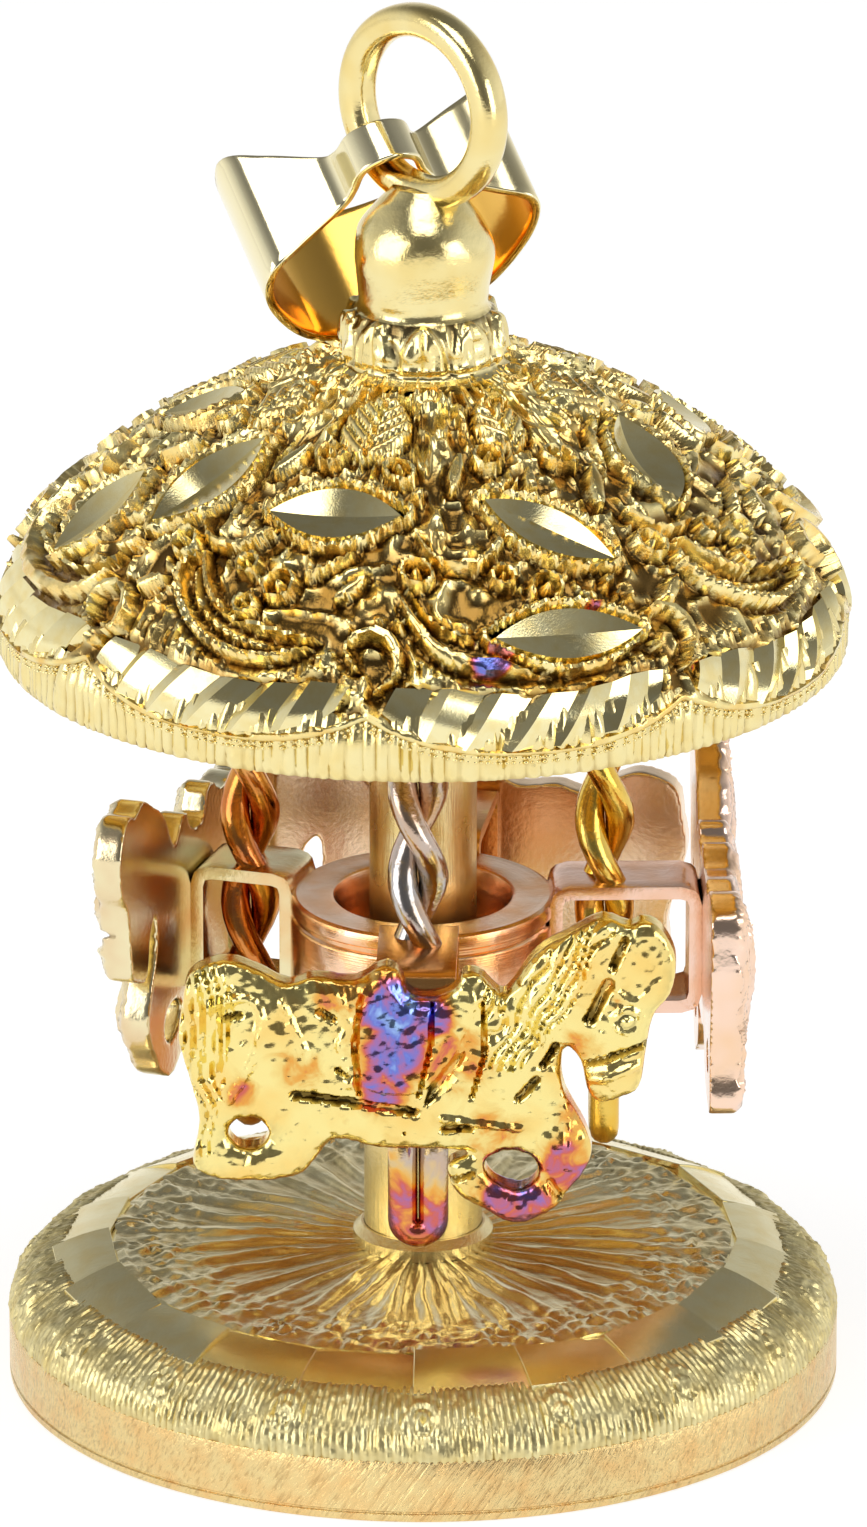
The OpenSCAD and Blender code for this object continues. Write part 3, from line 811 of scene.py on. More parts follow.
class Gold:
    """The finishes of this charm."""

    PALE = (0.86, 0.77, 0.43)
    SHADE_BROWN = (0.10, 0.05, 0.01)
    # Where a finish sets a dark colour and a share for the low places, that colour is painted shade in the
    # hollows of its relief.
    relief = Finish("relief gold", "yellow_gold", (0.93, 0.79, 0.36), 0.15, 0.005, 0.05, recess_shade=0.95,
                    painted_dark=(0.17, 0.085, 0.015), heat=-0.12, stained=0.95, heat_cell=0.5,
                    warm=(0.90, 0.60, 0.17))
    cut = Finish("diamond cut gold", "yellow_gold", PALE, 0.09, 0.0012, 0.03)
    milled = Finish("milled gold", "yellow_gold", (0.78, 0.68, 0.35), 0.33, 0.007, 0.05, recess_shade=0.75,
                    painted_dark=(0.26, 0.19, 0.06))
    rim = Finish("rim gold", "yellow_gold", (0.87, 0.75, 0.38), 0.20, 0.004, 0.06, recess_shade=0.7,
                 painted_dark=(0.34, 0.20, 0.04))
    # This colour is paler than the other yellow gold: painted light that brightens the cut flats.
    flats = Finish("cut flats gold", "yellow_gold", (0.92, 0.82, 0.47), 0.22, 0.0025, 0.05)
    floor = Finish("stage floor gold", "yellow_gold", (0.88, 0.78, 0.46), 0.24, 0.006, 0.06, recess_shade=0.62,
                   painted_dark=(0.52, 0.36, 0.12))
    satin = Finish("satin side gold", "satin_gold", (0.80, 0.62, 0.29), 0.24, 0.004, 0.05,
                   Lines.SLANTED, 0.030, 0.055, line_shade=0.50, painted_dark=(0.42, 0.25, 0.09),
                   warm=(0.80, 0.53, 0.22))
    post = Finish("satin post gold", "satin_gold", (0.86, 0.72, 0.38), 0.26, 0.002, 0.05,
                  Lines.UPRIGHT, 0.008, 0.05)
    polished = Finish("polished gold", "yellow_gold", (0.86, 0.73, 0.36), 0.13, 0.005, 0.09)
    # Its inner colour is a painted reflection of gold inside the bail's loop.
    pale = Finish("polished pale gold", "pale_gold", (0.90, 0.82, 0.54), 0.13, 0.0015, 0.25,
                  warm=(0.90, 0.78, 0.44), inner=(0.86, 0.50, 0.10))
    # Its dark colour is painted shade between and in the collar's leaves.
    collar = Finish("leaf collar gold", "yellow_gold", (0.86, 0.74, 0.37), 0.14, 0.006, 0.08, recess_shade=0.9,
                    painted_dark=SHADE_BROWN)
    hub = Finish("rose hub gold", "rose_gold", (0.88, 0.62, 0.44), 0.20, 0.004, 0.08,
                 Lines.TURNED, 0.006, 0.06, heat=0.14, heat_cell=1.0, warm=(0.84, 0.42, 0.16))
    fired = Finish("fired gold", "fired_gold", (0.74, 0.38, 0.14), 0.20, 0.006, 0.10, heat=0.20,
                   heat_cell=0.8)
    green_strap = Finish("greenish strap gold", "fired_gold", (0.80, 0.70, 0.42), 0.18, 0.005, 0.10,
                         heat=0.04, heat_cell=0.8, warm=(0.80, 0.52, 0.24))
    rose_strap = Finish("rose strap gold", "fired_gold", (0.88, 0.62, 0.50), 0.18, 0.005, 0.10,
                        heat=0.08, heat_cell=0.8, warm=(0.84, 0.46, 0.26))
    grey_wire = Finish("greyed wire", "fired_gold", (0.50, 0.46, 0.44), 0.14, 0.006, 0.10, heat=0.20,
                       heat_cell=0.6, stained=0.42, warm=(0.62, 0.40, 0.24))
    red_wire = Finish("reddened wire", "fired_gold", (0.60, 0.20, 0.06), 0.16, 0.006, 0.10, heat=0.20,
                      heat_cell=0.6, warm=(0.70, 0.34, 0.06))
    amber_wire = Finish("amber wire", "fired_gold", (0.80, 0.50, 0.08), 0.16, 0.006, 0.10, heat=0.14,
                        heat_cell=0.6, warm=(0.80, 0.60, 0.16))
    front_horse = Finish("front horse gold", "yellow_gold", (0.90, 0.76, 0.30), 0.15, 0.004, 0.09,
                         recess_shade=0.95, painted_dark=(0.12, 0.07, 0.01), heat=0.19, heat_cell=0.45,
                         warm=(0.90, 0.64, 0.20), stained=0.58)
    right_horse = Finish("right horse gold", "rose_gold", (0.92, 0.68, 0.54), 0.16, 0.004, 0.10, recess_shade=0.9,
                         painted_dark=(0.20, 0.08, 0.03))
    back_horse = Finish("back horse gold", "pink_gold", (0.90, 0.70, 0.50), 0.20, 0.004, 0.10, recess_shade=0.9,
                        painted_dark=(0.20, 0.08, 0.03))
    left_horse = Finish("left horse gold", "green_gold", (0.84, 0.76, 0.48), 0.16, 0.004, 0.10, recess_shade=0.9,
                        painted_dark=(0.16, 0.09, 0.02), warm=(0.78, 0.60, 0.36))


# ---------------------------------------------------------------- base


@dataclass
class Base:
    """The round base: satin side, milled band, cut flats and sunburst floor."""

    radius: float = 6.4
    side_h: float = 1.0
    band_w: float = 0.77
    band_h: float = 0.83
    band_arc: float = 62.0        # how far the band's section bends, in degrees
    flat_count: int = 20
    flat_w: float = 0.9
    flat_slope: float = 22.0
    flat_turn: float = -1.4
    flat_bow: float = 0.035       # how far the middle of a cut flat stands proud
    flat_tilts: Point = (-0.075, 0.075)     # range of a flat's tilt, from side to side
    flat_slopes: Point = (-0.09, 0.03)      # range of its rise beyond the even one
    flat_slides: Point = (-0.05, 0.05)      # range of its slide outwards
    floor_drop: float = 0.1
    wall: float = 0.32
    skin: float = 0.012           # least rise of the milled band above its seat
    stroke_rise: float = 0.055    # height of the milled strokes
    curl_rise: float = 0.05       # height of the curls struck over them
    patch_rise: float = 0.02      # height of the slow unevenness
    curls: int = 18
    ribs: int = 336
    rays: int = 34
    ray_rise: float = 0.060       # height of the sunburst's rays
    fibre_rise: float = 0.025     # height of the fibres along them
    bark_rise: float = 0.075      # height of the bark at the floor's edge
    foot_r: float = 0.9

    def __post_init__(self) -> None:
        """Works out the heights that follow from the sizes."""
        self.band_top = self.side_h + self.band_h
        self.stage_r = self.radius - self.band_w - self.flat_w
        self.flats_top = self.band_top + self.flat_w * math.tan(math.radians(self.flat_slope))
        self.floor_z = self.flats_top - self.floor_drop

    def build(self) -> None:
        """Models every piece of the base and dresses it."""
        self.side_wall()
        self.milled_band()
        self.cut_flats()
        self.stage_floor()

    def side_wall(self) -> None:
        """The satin wall with the seam where the bottom plate is let in."""
        r, h = self.radius, self.side_h
        inner = r - self.wall
        profile = [(inner, 0.30), (inner, 0.02), (r - 0.06, 0.0), (r - 0.02, 0.02), (r, 0.06), (r, 0.13),
                   (r - 0.025, 0.15), (r - 0.025, 0.17), (r, 0.19), (r, 0.4), (r, 0.7), (r, h - 0.05),
                   (r - 0.015, h - 0.01), (r - 0.06, h), (inner, h)]
        wall = Bench.lathe("base_side", profile, steps=256)
        Bench.deliver(wall, "body", Gold.satin, ("base_cover",))
        plate = Bench.lathe("base_underside", [(0.0, 0.012), (inner - 0.1, 0.012), (inner, 0.03),
                                               (inner, 0.2), (0.0, 0.2)], steps=128)
        Bench.deliver(plate, "body", Gold.satin, ("base_plate",))

    def milled_band(self) -> None:
        """The convex band, milled with fine upright strokes and faint curls."""
        steps = 24
        band = Bench.strip("base_band", steps, self.ribs * 4)
        turn, share, outer = Bench.unroll(band, steps)
        full = math.radians(self.band_arc)
        arc = full * share
        r = self.radius - self.band_w * (1 - np.cos(arc)) / (1 - math.cos(full)) - 0.05
        z = self.side_h + self.band_h * np.sin(arc) / math.sin(full)
        r = np.where(outer, r, r - 0.35)
        z = np.where(outer, z, np.where(share > 0.5, z - 0.1, z))
        Bench.put_round(band, r, turn, z)
        grain = Grain(seed=11)
        across = (turn / FULL_TURN) % 1.0
        shift = (grain(across, share, 60, 0.5) - 0.5) * 0.008
        stroke = np.abs(np.sin((turn + shift) * self.ribs / 2))
        broken = grain(across, share, 620, 0.055)
        patch = grain(across, share, 120, 0.3)
        curl = self._curls(turn, share)
        heights = (self.skin + self.stroke_rise * stroke * (0.10 + 0.90 * broken)
                   + self.curl_rise * curl + self.patch_rise * patch)
        Bench.emboss(band, np.where(outer, heights, 0))
        Bench.deliver(band, "body", Gold.milled, ("base_cover",), sharp=50)

    def _curls(self, turn: Array, share: Array) -> Array:
        """Faint rings struck at even steps along the band.

        Args:
            turn: Angle of each place.
            share: Height of each place, 0 at the bottom and 1 at the top.

        Returns:
            The rise of the rings, 0 to 1.
        """
        pitch = FULL_TURN / self.curls
        along = ((turn / pitch + 0.5) % 1.0 - 0.5) * pitch * self.radius
        up = (share - 0.55) * 1.1
        away = np.hypot(along, up)
        return np.abs(np.sin(away * math.pi / 0.17)) * mesa(away, 0.52, 1.6)

    def cut_flats(self) -> None:
        """The ring of hand-cut flats, each with its own tilt, over a turned seat."""
        outer, inner = self.radius - self.band_w, self.stage_r
        rise = self.flats_top - self.band_top
        low, high = self.band_top, self.flats_top
        seat = Bench.lathe("flats_seat", [
            (outer + 0.10, low - 0.35), (outer + 0.10, low - 0.05), (outer, low - 0.10),
            (inner + 0.12, high - 0.14), (inner + 0.02, high - 0.10), (inner - 0.05, high - 0.30),
            (inner - 0.05, low - 0.35)], steps=160)
        rng = np.random.default_rng(seed=19)
        pitch = FULL_TURN / self.flat_count
        flats = []
        for i in range(self.flat_count):
            Bench.clear()
            bpy.ops.mesh.primitive_cube_add(size=2)
            flat = bpy.context.object
            Bench.edit(flat)
            bpy.ops.mesh.subdivide(number_cuts=3)
            Bench.clear()
            tilt = rng.uniform(*self.flat_tilts)
            slope = rng.uniform(*self.flat_slopes)
            slide = rng.uniform(*self.flat_slides)
            places = Bench.coords(flat)
            inwards = (places[:, 1] + 1) / 2
            half = (outer + 0.05 + (inner + 0.05 - outer) * inwards) * math.tan(pitch / 2) * 1.01
            along = places[:, 0] * half
            away = (outer + 0.05 + slide * 0.4) * (1 - inwards) + (inner + 0.06) * inwards
            lift = -0.02 * (1 - inwards) + (rise * 0.93 + slope) * inwards
            bow = self.flat_bow * (1 - places[:, 1] ** 2)
            top = low + lift + tilt * places[:, 0] + bow
            z = np.where(places[:, 2] > 0.99, top, low + lift - 0.15 * (1.0 - places[:, 2]))
            Bench.put(flat, np.stack([along, -away, z], 1))
            flat.rotation_euler = (0, 0, (i + 0.5) * pitch + math.radians(self.flat_turn))
            Bench.bake_place(flat)
            Bench.apply(flat, "BEVEL", width=0.012, segments=1, limit_method="ANGLE",
                        angle_limit=math.radians(40))
            flats.append(flat)
        ring = Bench.fuse("base_flats", *flats, seat)
        Bench.deliver(ring, "body", Gold.flats, ("base_cover",), sharp=12)

    def stage_floor(self) -> None:
        """The floor with a struck sunburst that frays into bark at the edge."""
        rows, columns, start = 56, 544, 20.0
        flat = [(start + i, 1.0) for i in range(rows + 1)] + [(start + rows, 0.0), (start, 0.0)]
        floor = Bench.lathe("stage_floor", flat, columns)
        places = Bench.coords(floor)
        turn = Bench.turns(places)
        share = (np.hypot(places[:, 0], places[:, 1]) - start) / rows
        top = places[:, 2] > 0.5
        r = self.foot_r - 0.05 + (self.stage_r + 0.04 - self.foot_r) * share
        z = np.where(top, self.floor_z - 0.05, self.floor_z - 0.3)
        Bench.put_round(floor, r, turn, z)
        across = (turn / FULL_TURN) % 1.0
        grain = Grain(seed=23)
        sway = (grain(across, r, 40, 0.8) - 0.5) * 0.10
        wave = np.cos((turn + sway) * self.rays)
        ray = np.clip(wave, -0.2, 1) * (0.35 + 0.65 * np.clip((r - 1.0) / 1.2, 0, 1))
        fibre = grain(across, r, 272, 0.7)
        bark = np.abs(grain(across, r, 150, 0.16) - 0.5) * 2
        scale_edge = np.clip((r - 3.3) / 0.7, 0, 1)
        heights = (0.03 + self.ray_rise * ray * (1 - 0.65 * scale_edge) + self.fibre_rise * fibre
                   + self.bark_rise * bark * scale_edge + 0.012 * bark)
        Bench.emboss(floor, np.where(top, np.maximum(heights, 0), 0))
        Bench.deliver(floor, "body", Gold.floor, ("base_cover",), sharp=50)


# ---------------------------------------------------------------- canopy


class Dome:
    """The canopy's outer face, read by the distance up its surface from the rim."""

    def __init__(self, rim_r: float, rim_z: float, rim_h: float, rise: float, fullness: float) -> None:
        """Samples the profile.

        Args:
            rim_r: Radius at the rim.
            rim_z: Height of the rim's lower edge.
            rim_h: Height of the upright rim.
            rise: Rise of the dome above the upright rim.
            fullness: 1 for a cone, 2 for a half ellipse.
        """
        turn = np.linspace(0, math.pi / 2, 900)
        r = rim_r * np.cos(turn)
        z = rim_z + rim_h + rise * (1 - (r / rim_r) ** fullness) ** (1 / fullness)
        self.r = np.concatenate([[rim_r], r])
        self.z = np.concatenate([[rim_z], z])
        self.t = np.concatenate([[0], np.cumsum(np.hypot(np.diff(self.r), np.diff(self.z)))])

    def at(self, t: Array) -> tuple[Array, Array]:
        """Gives radius and height at a distance up the surface."""
        return np.interp(t, self.t, self.r), np.interp(t, self.t, self.z)

    def up_to(self, r: float) -> float:
        """Gives the distance up the surface at which the radius is r."""
        return float(np.interp(-r, -self.r[1:], self.t[1:]))

    def outward(self, t: Array) -> tuple[Array, Array]:
        """Gives the outward direction at a distance up the surface, across and up."""
        step = 0.06
        r0, z0 = self.at(np.maximum(t - step, 0))
        r1, z1 = self.at(t + step)
        size = np.hypot(r1 - r0, z1 - z0)
        return (z1 - z0) / size, (r0 - r1) / size

    def above(self, t: Array, rise: Array) -> tuple[Array, Array]:
        """Gives radius and height of places that stand off the surface by a signed rise."""
        r, z = self.at(t)
        nr, nz = self.outward(t)
        return r + nr * rise, z + nz * rise

    def frame(self, phi: float, t: float, turn: float = 0.0, lift: float = 0.0) -> Matrix:
        """Gives the place of a shape on the dome: X across, Y up the dome and Z outwards.

        Args:
            phi: Angle from the front in degrees, to the right.
            t: Distance up the surface.
            turn: Turn of the shape on the surface in degrees.
            lift: Rise above the surface.

        Returns:
            The matrix.
        """
        r, z = (float(v) for v in self.at(np.array(t)))
        nr, nz = (float(v) for v in self.outward(np.array(t)))
        a = math.radians(phi)
        away, side = Vector((math.sin(a), -math.cos(a), 0)), Vector((math.cos(a), math.sin(a), 0))
        out = away * nr + Vector((0, 0, nz))
        up = away * -nz + Vector((0, 0, nr))
        spot = away * r + Vector((0, 0, z)) + out * lift
        return placed(side, up, out, spot) @ Matrix.Rotation(math.radians(turn), 4, "Z")


@dataclass(frozen=True)
class Marquise:
    """A pointed oval diamond cut: its place, length, width and turn."""

    phi: float
    r: float
    length: float
    width: float
    turn: float


@dataclass
class Canopy:
    """The scalloped canopy: milled rim, relief shell, milgrain and diamond cuts."""

    rim_r: float = 6.5
    rim_z: float = 11.85
    rim_h: float = 0.52
    rise: float = 4.16
    fullness: float = 1.56
    crown_r: float = 1.2
    wall: float = 0.4
    lobes: int = 8
    lobe_turn: float = -7.7
    drift: float = 0.14           # how much lower the scallops sit on the right than in front
    ground: float = 0.14          # depth of the ground below the dome's outer face
    edge_low: float = 0.27        # height of the scalloped edge in a lobe's middle
    edge_rise: float = 0.53       # how far the edge rises to its cusps
    band_low: float = 0.90        # height of the middle of the cut band in a lobe's middle
    band_rise: float = 0.46       # how far it rises to the cusps
    band_reach: float = 0.41      # half the height of the cut band
    ridge_up: float = 0.045       # how far a ridge between two cuts stands above the dome
    groove_down: float = 0.085    # how far the bottom of a cut lies below it
    moat: float = 0.10            # width of the sunk line round a struck form, darkened by the painted shade
    ground_rise: float = 0.15     # height of the crinkled ground
    fibre_rise: float = 0.11      # height of the fibres below the finial and of the hatching
    frame_rise: float = 0.28      # height of the beaded frame round a pointed oval cut
    top_rise: float = 0.38        # greatest height of the relief
    rib_rise: float = 0.09        # height of the rim's ribs
    shade_from: float = 0.05       # height at which the painted recess shade starts to fade
    shade_span: float = 0.11       # how much higher it is gone
    leaf_sizes: tuple[Point, Point] = ((1.55, 0.56), (1.25, 0.42))      # length and half width
    leaf_r: float = 2.35          # radius of a leaf's middle
    leaf_turn: float = -9.0       # its angle from a cusp
    grains: int = 420             # beads in each row of the milgrain
    grain_r: float = 0.045        # radius of a bead
    grain_step: float = 0.075     # distance of the two rows
    cut_sheet: float = 0.16       # thickness of the cut pieces
    cut_reach: float = 0.86       # share of a lobe that its cuts take
    cut_lean: float = 0.34        # how far the cuts lean in a lobe's middle, in millimetres
    facet_off: Point = (0.05, 0.22)     # how far a pointed cut's ridge lies off its middle, by turns
    facet_sink: Point = (0.24, 0.30)    # how deep it lies, by turns
    ribs: int = 216
    cuts: int = 6
    marquises: tuple[Marquise, ...] = (
        Marquise(-18.7, 4.03, 2.0, 0.95, 5), Marquise(25.4, 4.35, 2.1, 0.80, -42),
        Marquise(22.1, 5.72, 2.3, 0.80, -4), Marquise(-53.5, 3.95, 2.1, 1.05, 78),
        Marquise(-73.0, 5.05, 1.8, 1.05, 86), Marquise(64.0, 3.75, 1.9, 1.05, 61),
        Marquise(-94.0, 3.30, 1.7, 0.80, 60), Marquise(105.0, 4.05, 2.0, 0.90, 4),
        Marquise(118.0, 5.60, 2.2, 0.80, -4), Marquise(148.0, 4.30, 2.1, 0.80, -42),
        Marquise(190.0, 3.90, 2.0, 1.05, 80), Marquise(167.0, 5.50, 2.0, 0.80, 10),
        Marquise(214.0, 5.05, 1.8, 1.00, 86), Marquise(236.0, 3.80, 1.9, 1.00, 55))

    # Heat stains: their angle, radius and reach.
    stains = ((9.6, 5.97, 0.36), (27.5, 5.45, 0.14), (42.0, 6.25, 0.20))
    # The struck pattern is described in degrees from a lobe's middle and radius on the dome.
    crescent = ((-10.4, 4.84), (-12.6, 5.1), (-11.0, 5.45), (-5.4, 5.78), (2.0, 5.97), (10.0, 5.93),
                (14.5, 5.75))
    crescent_in = ((-10.4, 4.84), (-7.5, 5.2), (-3.0, 5.5), (4.0, 5.66), (10.0, 5.72), (14.5, 5.75))
    sweep = ((-18.0, 5.25), (-13.0, 5.78), (-5.0, 5.98), (6.0, 5.98), (14.0, 5.85), (18.5, 5.55))
    hook = ((1.0, 6.22), (4.0, 6.02), (3.2, 5.72), (-0.5, 5.62), (-3.4, 5.8), (-1.8, 6.0))
    tendril = ((-16.0, 4.35), (-12.0, 4.72), (-5.0, 4.75), (0.0, 4.45), (3.0, 4.0), (8.0, 3.55))
    tendril_high = ((18.0, 4.6), (12.0, 4.9), (5.0, 5.1), (-2.0, 5.0))
    petals = (((-20.5, 4.15), (-15.0, 3.55)), ((10.0, 4.05), (12.5, 3.35)), ((16.0, 5.25), (20.5, 4.95)),
              ((-8.0, 3.55), (-4.0, 2.95)), ((-20.0, 5.60), (-15.5, 5.35)))
    # Raised lines by lobe: their points, half width, height and the pitch of their beads, 0 for none.
    odd_lines = ((crescent, 0.15, 0.34, 0.16), (crescent_in, 0.12, 0.30, 0.0))
    even_lines = ((sweep, 0.21, 0.30, 0.0), (tuple((p, q - 0.26) for p, q in sweep), 0.10, 0.27, 0.15))
    all_lines = ((tendril, 0.13, 0.31, 0.0), (tendril_high, 0.12, 0.28, 0.16))
    # Raised rings: their place and radius.
    rings = (((-15.9, 4.86), 0.22), ((3.7, 3.02), 0.21), ((-21.0, 3.23), 0.21),
             ((6.0, 5.15), 0.23), ((-1.0, 4.95), 0.16), ((1.5, 5.45), 0.15))

    def __post_init__(self) -> None:
        """Prepares the profile that everything on the canopy sits on."""
        self.dome = Dome(self.rim_r, self.rim_z, self.rim_h, self.rise, self.fullness)
        self.pitch = 360 / self.lobes
        self.crown_t = self.dome.up_to(self.crown_r)

    def build(self) -> None:
        """Models every piece of the canopy and dresses it."""
        self.milled_rim()
        self.shell()
        self.milgrain()
        self.lobe_cuts()
        self.marquise_cuts()

    def across(self, phi: Array) -> Array:
        """Gives the place across a lobe, -1 at its left cusp and 1 at its right one."""
        share = ((phi - self.lobe_turn) / self.pitch) % 1.0
        return share * 2 - 1

    def wave(self, phi: Array) -> Array:
        """Gives the height of the scalloped edge above the rim."""
        a = self.across(phi)
        lift = self.drift * np.sin(np.radians(phi))
        return self.edge_low + self.edge_rise * np.abs(a) ** 2.6 - lift

    def band_middle(self, phi: Array) -> Array:
        """Gives the height of the middle of the cut band above the rim."""
        a = self.across(phi)
        return self.band_low + self.band_rise * a * a - self.drift * np.sin(np.radians(phi))

    def band_half(self, a: Array) -> Array:
        """Gives half the height of the cut band across a lobe."""
        return self.band_reach * np.sqrt(np.clip(1 - 0.82 * np.abs(a / 0.87) ** 5, 0.02, 1))

    def milled_rim(self) -> None:
        """The rim, milled with upright ribs, that shows below the scallops."""
        steps = 10
        rim = Bench.strip("canopy_rim", steps, self.ribs * 4)
        turn, t, outer = Bench.unroll(rim, steps)
        r, z = self.dome.above(t, np.where(outer, -0.11, -self.wall))
        z = np.maximum(z, self.rim_z)
        Bench.put_round(rim, r, turn, z)
        grain = Grain(seed=31)
        across = (turn / FULL_TURN) % 1.0
        shift = (grain(across, t, 90, 2.0) - 0.5) * 0.06
        stroke = np.abs(np.sin((turn + shift) * self.ribs / 2)) ** 0.9
        broken = grain(across, t, 430, 0.3)
        foot = np.clip(t / 0.05, 0, 1)
        heights = (0.01 + self.rib_rise * stroke * (0.40 + 0.60 * broken)) * (0.3 + 0.7 * foot)
        Bench.emboss(rim, np.where(outer, heights, 0))
        Bench.deliver(rim, "body", Gold.rim, ("canopy",), sharp=50)

    def shell(self) -> None:
        """The relief shell from the scalloped edge up to the crown."""
        rows, columns, back_rows = 118, 768, 8
        shell = Bench.strip("canopy_shell", rows, columns, 2 * STRIP_R, back_rows)
        turn, share, outer = Bench.unroll(shell, rows, 2 * STRIP_R)
        phi = np.degrees(turn)
        low = self.wave(phi)
        t = low + (self.crown_t - low) * share ** 1.08
        inner_t = 0.25 + (self.crown_t - 0.25) * share
        t = np.where(outer, t, inner_t)
        r, z = self.dome.above(t, np.where(outer, -self.ground, -self.wall))
        Bench.put_round(shell, r, turn, z)
        heights = np.zeros(len(phi))
        heights[outer] = self.relief(phi[outer], t[outer])
        Bench.emboss(shell, heights)
        # Painted shade: low places of the outer relief are darkened, fading out with height; the inside
        # gets none.
        unshaded = np.clip((heights - self.shade_from) / self.shade_span, 0, 1) * 0.5
        Bench.mark(shell, np.where(outer, unshaded, 0.5))
        stain = np.zeros(len(phi))
        for at_phi, at_r, reach in self.stains:
            x, y = self._local(phi, t, r, at_phi, self.dome.up_to(at_r), 0.0)
            stain = np.maximum(stain, mesa(np.hypot(x * 0.6, y), reach))
        Bench.mark(shell, stain, "stain")
        Bench.deliver(shell, "body", Gold.relief, ("canopy",), sharp=60)

    def relief(self, phi: Array, t: Array) -> Array:
        """Works out the struck relief of the shell.

        Args:
            phi: Angle of each place in degrees.
            t: Its distance up the surface.

        Returns:
            The rise above the ground in millimetres.
        """
        r, _ = self.dome.at(t)
        a = self.across(phi)
        grain = Grain(seed=47)
        around = (phi / 360) % 1.0
        coarse, fine = grain(around, t, 116, 0.30), grain(around, t, 340, 0.11)
        fibre = crest(grain(around, t, 96, 0.9)) * np.clip((3.5 - r) / 0.9, 0, 1)
        height = 0.02 + self.ground_rise * crest(coarse, 3.0) + self.fibre_rise * fibre
        edge = t - self.wave(phi)
        off_band = (t - self.band_middle(phi)) / np.maximum(self.band_half(a), 0.05)
        hatch_zone = bump(np.abs(off_band - 1.75), 0.8)
        hatch = np.abs(np.sin(np.radians(phi) * 150 + coarse * 3)) ** 0.7
        height = height * (1 - 0.7 * hatch_zone) + self.fibre_rise * hatch * hatch_zone
        for lobe in range(self.lobes):
            middle = self.lobe_turn + self.pitch * (lobe + 0.5)
            gap = (phi - middle + 180) % 360 - 180
            near = np.abs(gap) < self.pitch * 0.62
            height[near] = self._lobe_relief(height[near], gap[near], r[near], t[near], lobe)
        for index in range(self.lobes):
            at_phi = self.lobe_turn + self.leaf_turn + self.pitch * index
            height = self._leaf(height, phi, t, r, at_phi, index)
        for cut in self.marquises:
            x, y = self._local(phi, t, r, cut.phi, self.dome.up_to(cut.r), cut.turn)
            edge_y = cut.width / 2 * np.clip(1 - (2 * x / cut.length) ** 2, 0, 1)
            beyond = np.where(np.abs(x) < cut.length / 2, np.abs(y) - edge_y,
                              np.hypot(np.abs(x) - cut.length / 2, y))
            frame = mesa(np.abs(beyond - 0.13), 0.12, 1.6) * (0.6 + 0.4 * beads(x, 0.17))
            clear = np.clip((beyond - 0.25) / 0.09, 0.06, 1)
            height = np.where(beyond < 0.03, 0.0, np.maximum(height * clear, self.frame_rise * frame))
        smooth_edge = np.clip((edge - 0.11) / 0.03, 0, 1)
        height = np.where(edge < 0.26, 0.01 + 0.12 * smooth_edge, height)
        on_band = (np.abs(off_band) < 1.02) & (np.abs(a) < 0.9)
        height = np.where(on_band, 0.015, height)
        return np.clip(height + 0.015 * fine, 0.0, self.top_rise)

    def _local(self, phi: Array, t: Array, r: Array, at_phi: float, at_t: float,
               turn: float) -> tuple[Array, Array]:
        """Gives places relative to a turned shape on the dome, in millimetres."""
        gap = (phi - at_phi + 180) % 360 - 180
        x, y = np.radians(gap) * r, t - at_t
        c, s = math.cos(math.radians(turn)), math.sin(math.radians(turn))
        return x * c + y * s, -x * s + y * c

    def _lobe_relief(self, height: Array, gap: Array, r: Array, t: Array,
                     lobe: int) -> Array:
        """Adds the scrolls, crescent, rings and buds of one lobe.

        Args:
            height: The relief so far.
            gap: Angle from the lobe's middle in degrees.
            r: Radius on the dome.
            t: Distance up the surface.
            lobe: The lobe's number.

        Returns:
            The new relief.
        """
        x = np.radians(gap) * r

        def laid(points: Iterable[Point]) -> list[Point]:
            """Turns (degrees, radius) points into distances across and up the dome."""
            return [(math.radians(p) * q, self.dome.up_to(q)) for p, q in points]

        def line(points: Sequence[Point], width: float, rise: float, pitch: float = 0.0) -> Raised:
            """Gives a raised line, beaded if a pitch is given, along (degrees, radius) points."""
            chain = smooth_loop(laid(points), 4, closed=False)
            away, along = nearest(x, t, chain)
            rope = 0.6 + 0.4 * beads(along, pitch) if pitch else 1.0
            length = sum(math.dist(start, end) for start, end in zip(chain, chain[1:]))
            wide = width * (0.35 + 0.65 * np.sin(math.pi * along / length) ** 0.6)
            return rise * rope * mesa(away, wide, 1.8), away - wide

        def ring(at: Point, size: float) -> Raised:
            """Gives a raised ring with a round boss in its middle."""
            away = np.hypot(x - math.radians(at[0]) * at[1], t - self.dome.up_to(at[1]))
            wire = mesa(np.abs(away - size), 0.09) * 0.28
            boss = 0.33 * bump(away, size * 0.6)
            return np.maximum(wire, boss), away - size - 0.08

        def sunk(height: Array, raised: Raised) -> Array:
            """Lays a raised shape on the relief and cuts a moat round it, low enough to take the painted
            shade.
            """
            rise, beyond = raised
            return np.maximum(height * np.clip(beyond / self.moat, 0.05, 1), rise)

        for petal in self.petals:
            height = sunk(height, line(petal, 0.17, 0.26))
        odd = lobe % 2 == 1
        if odd:
            filled = inside(x, t, laid(self.crescent) + laid(reversed(self.crescent_in)))
            height = np.where(filled, 0.07 + 0.08 * np.abs(np.sin(x * 20 + t * 9)), height)
        for form in (self.odd_lines if odd else self.even_lines) + self.all_lines:
            height = sunk(height, line(*form))
        for side in (-0.5, 0.5):
            height = sunk(height, line([(p + side * self.pitch, q) for p, q in self.hook], 0.13, 0.33))
        for spot, size in self.rings:
            height = sunk(height, ring(spot, size))
        return height

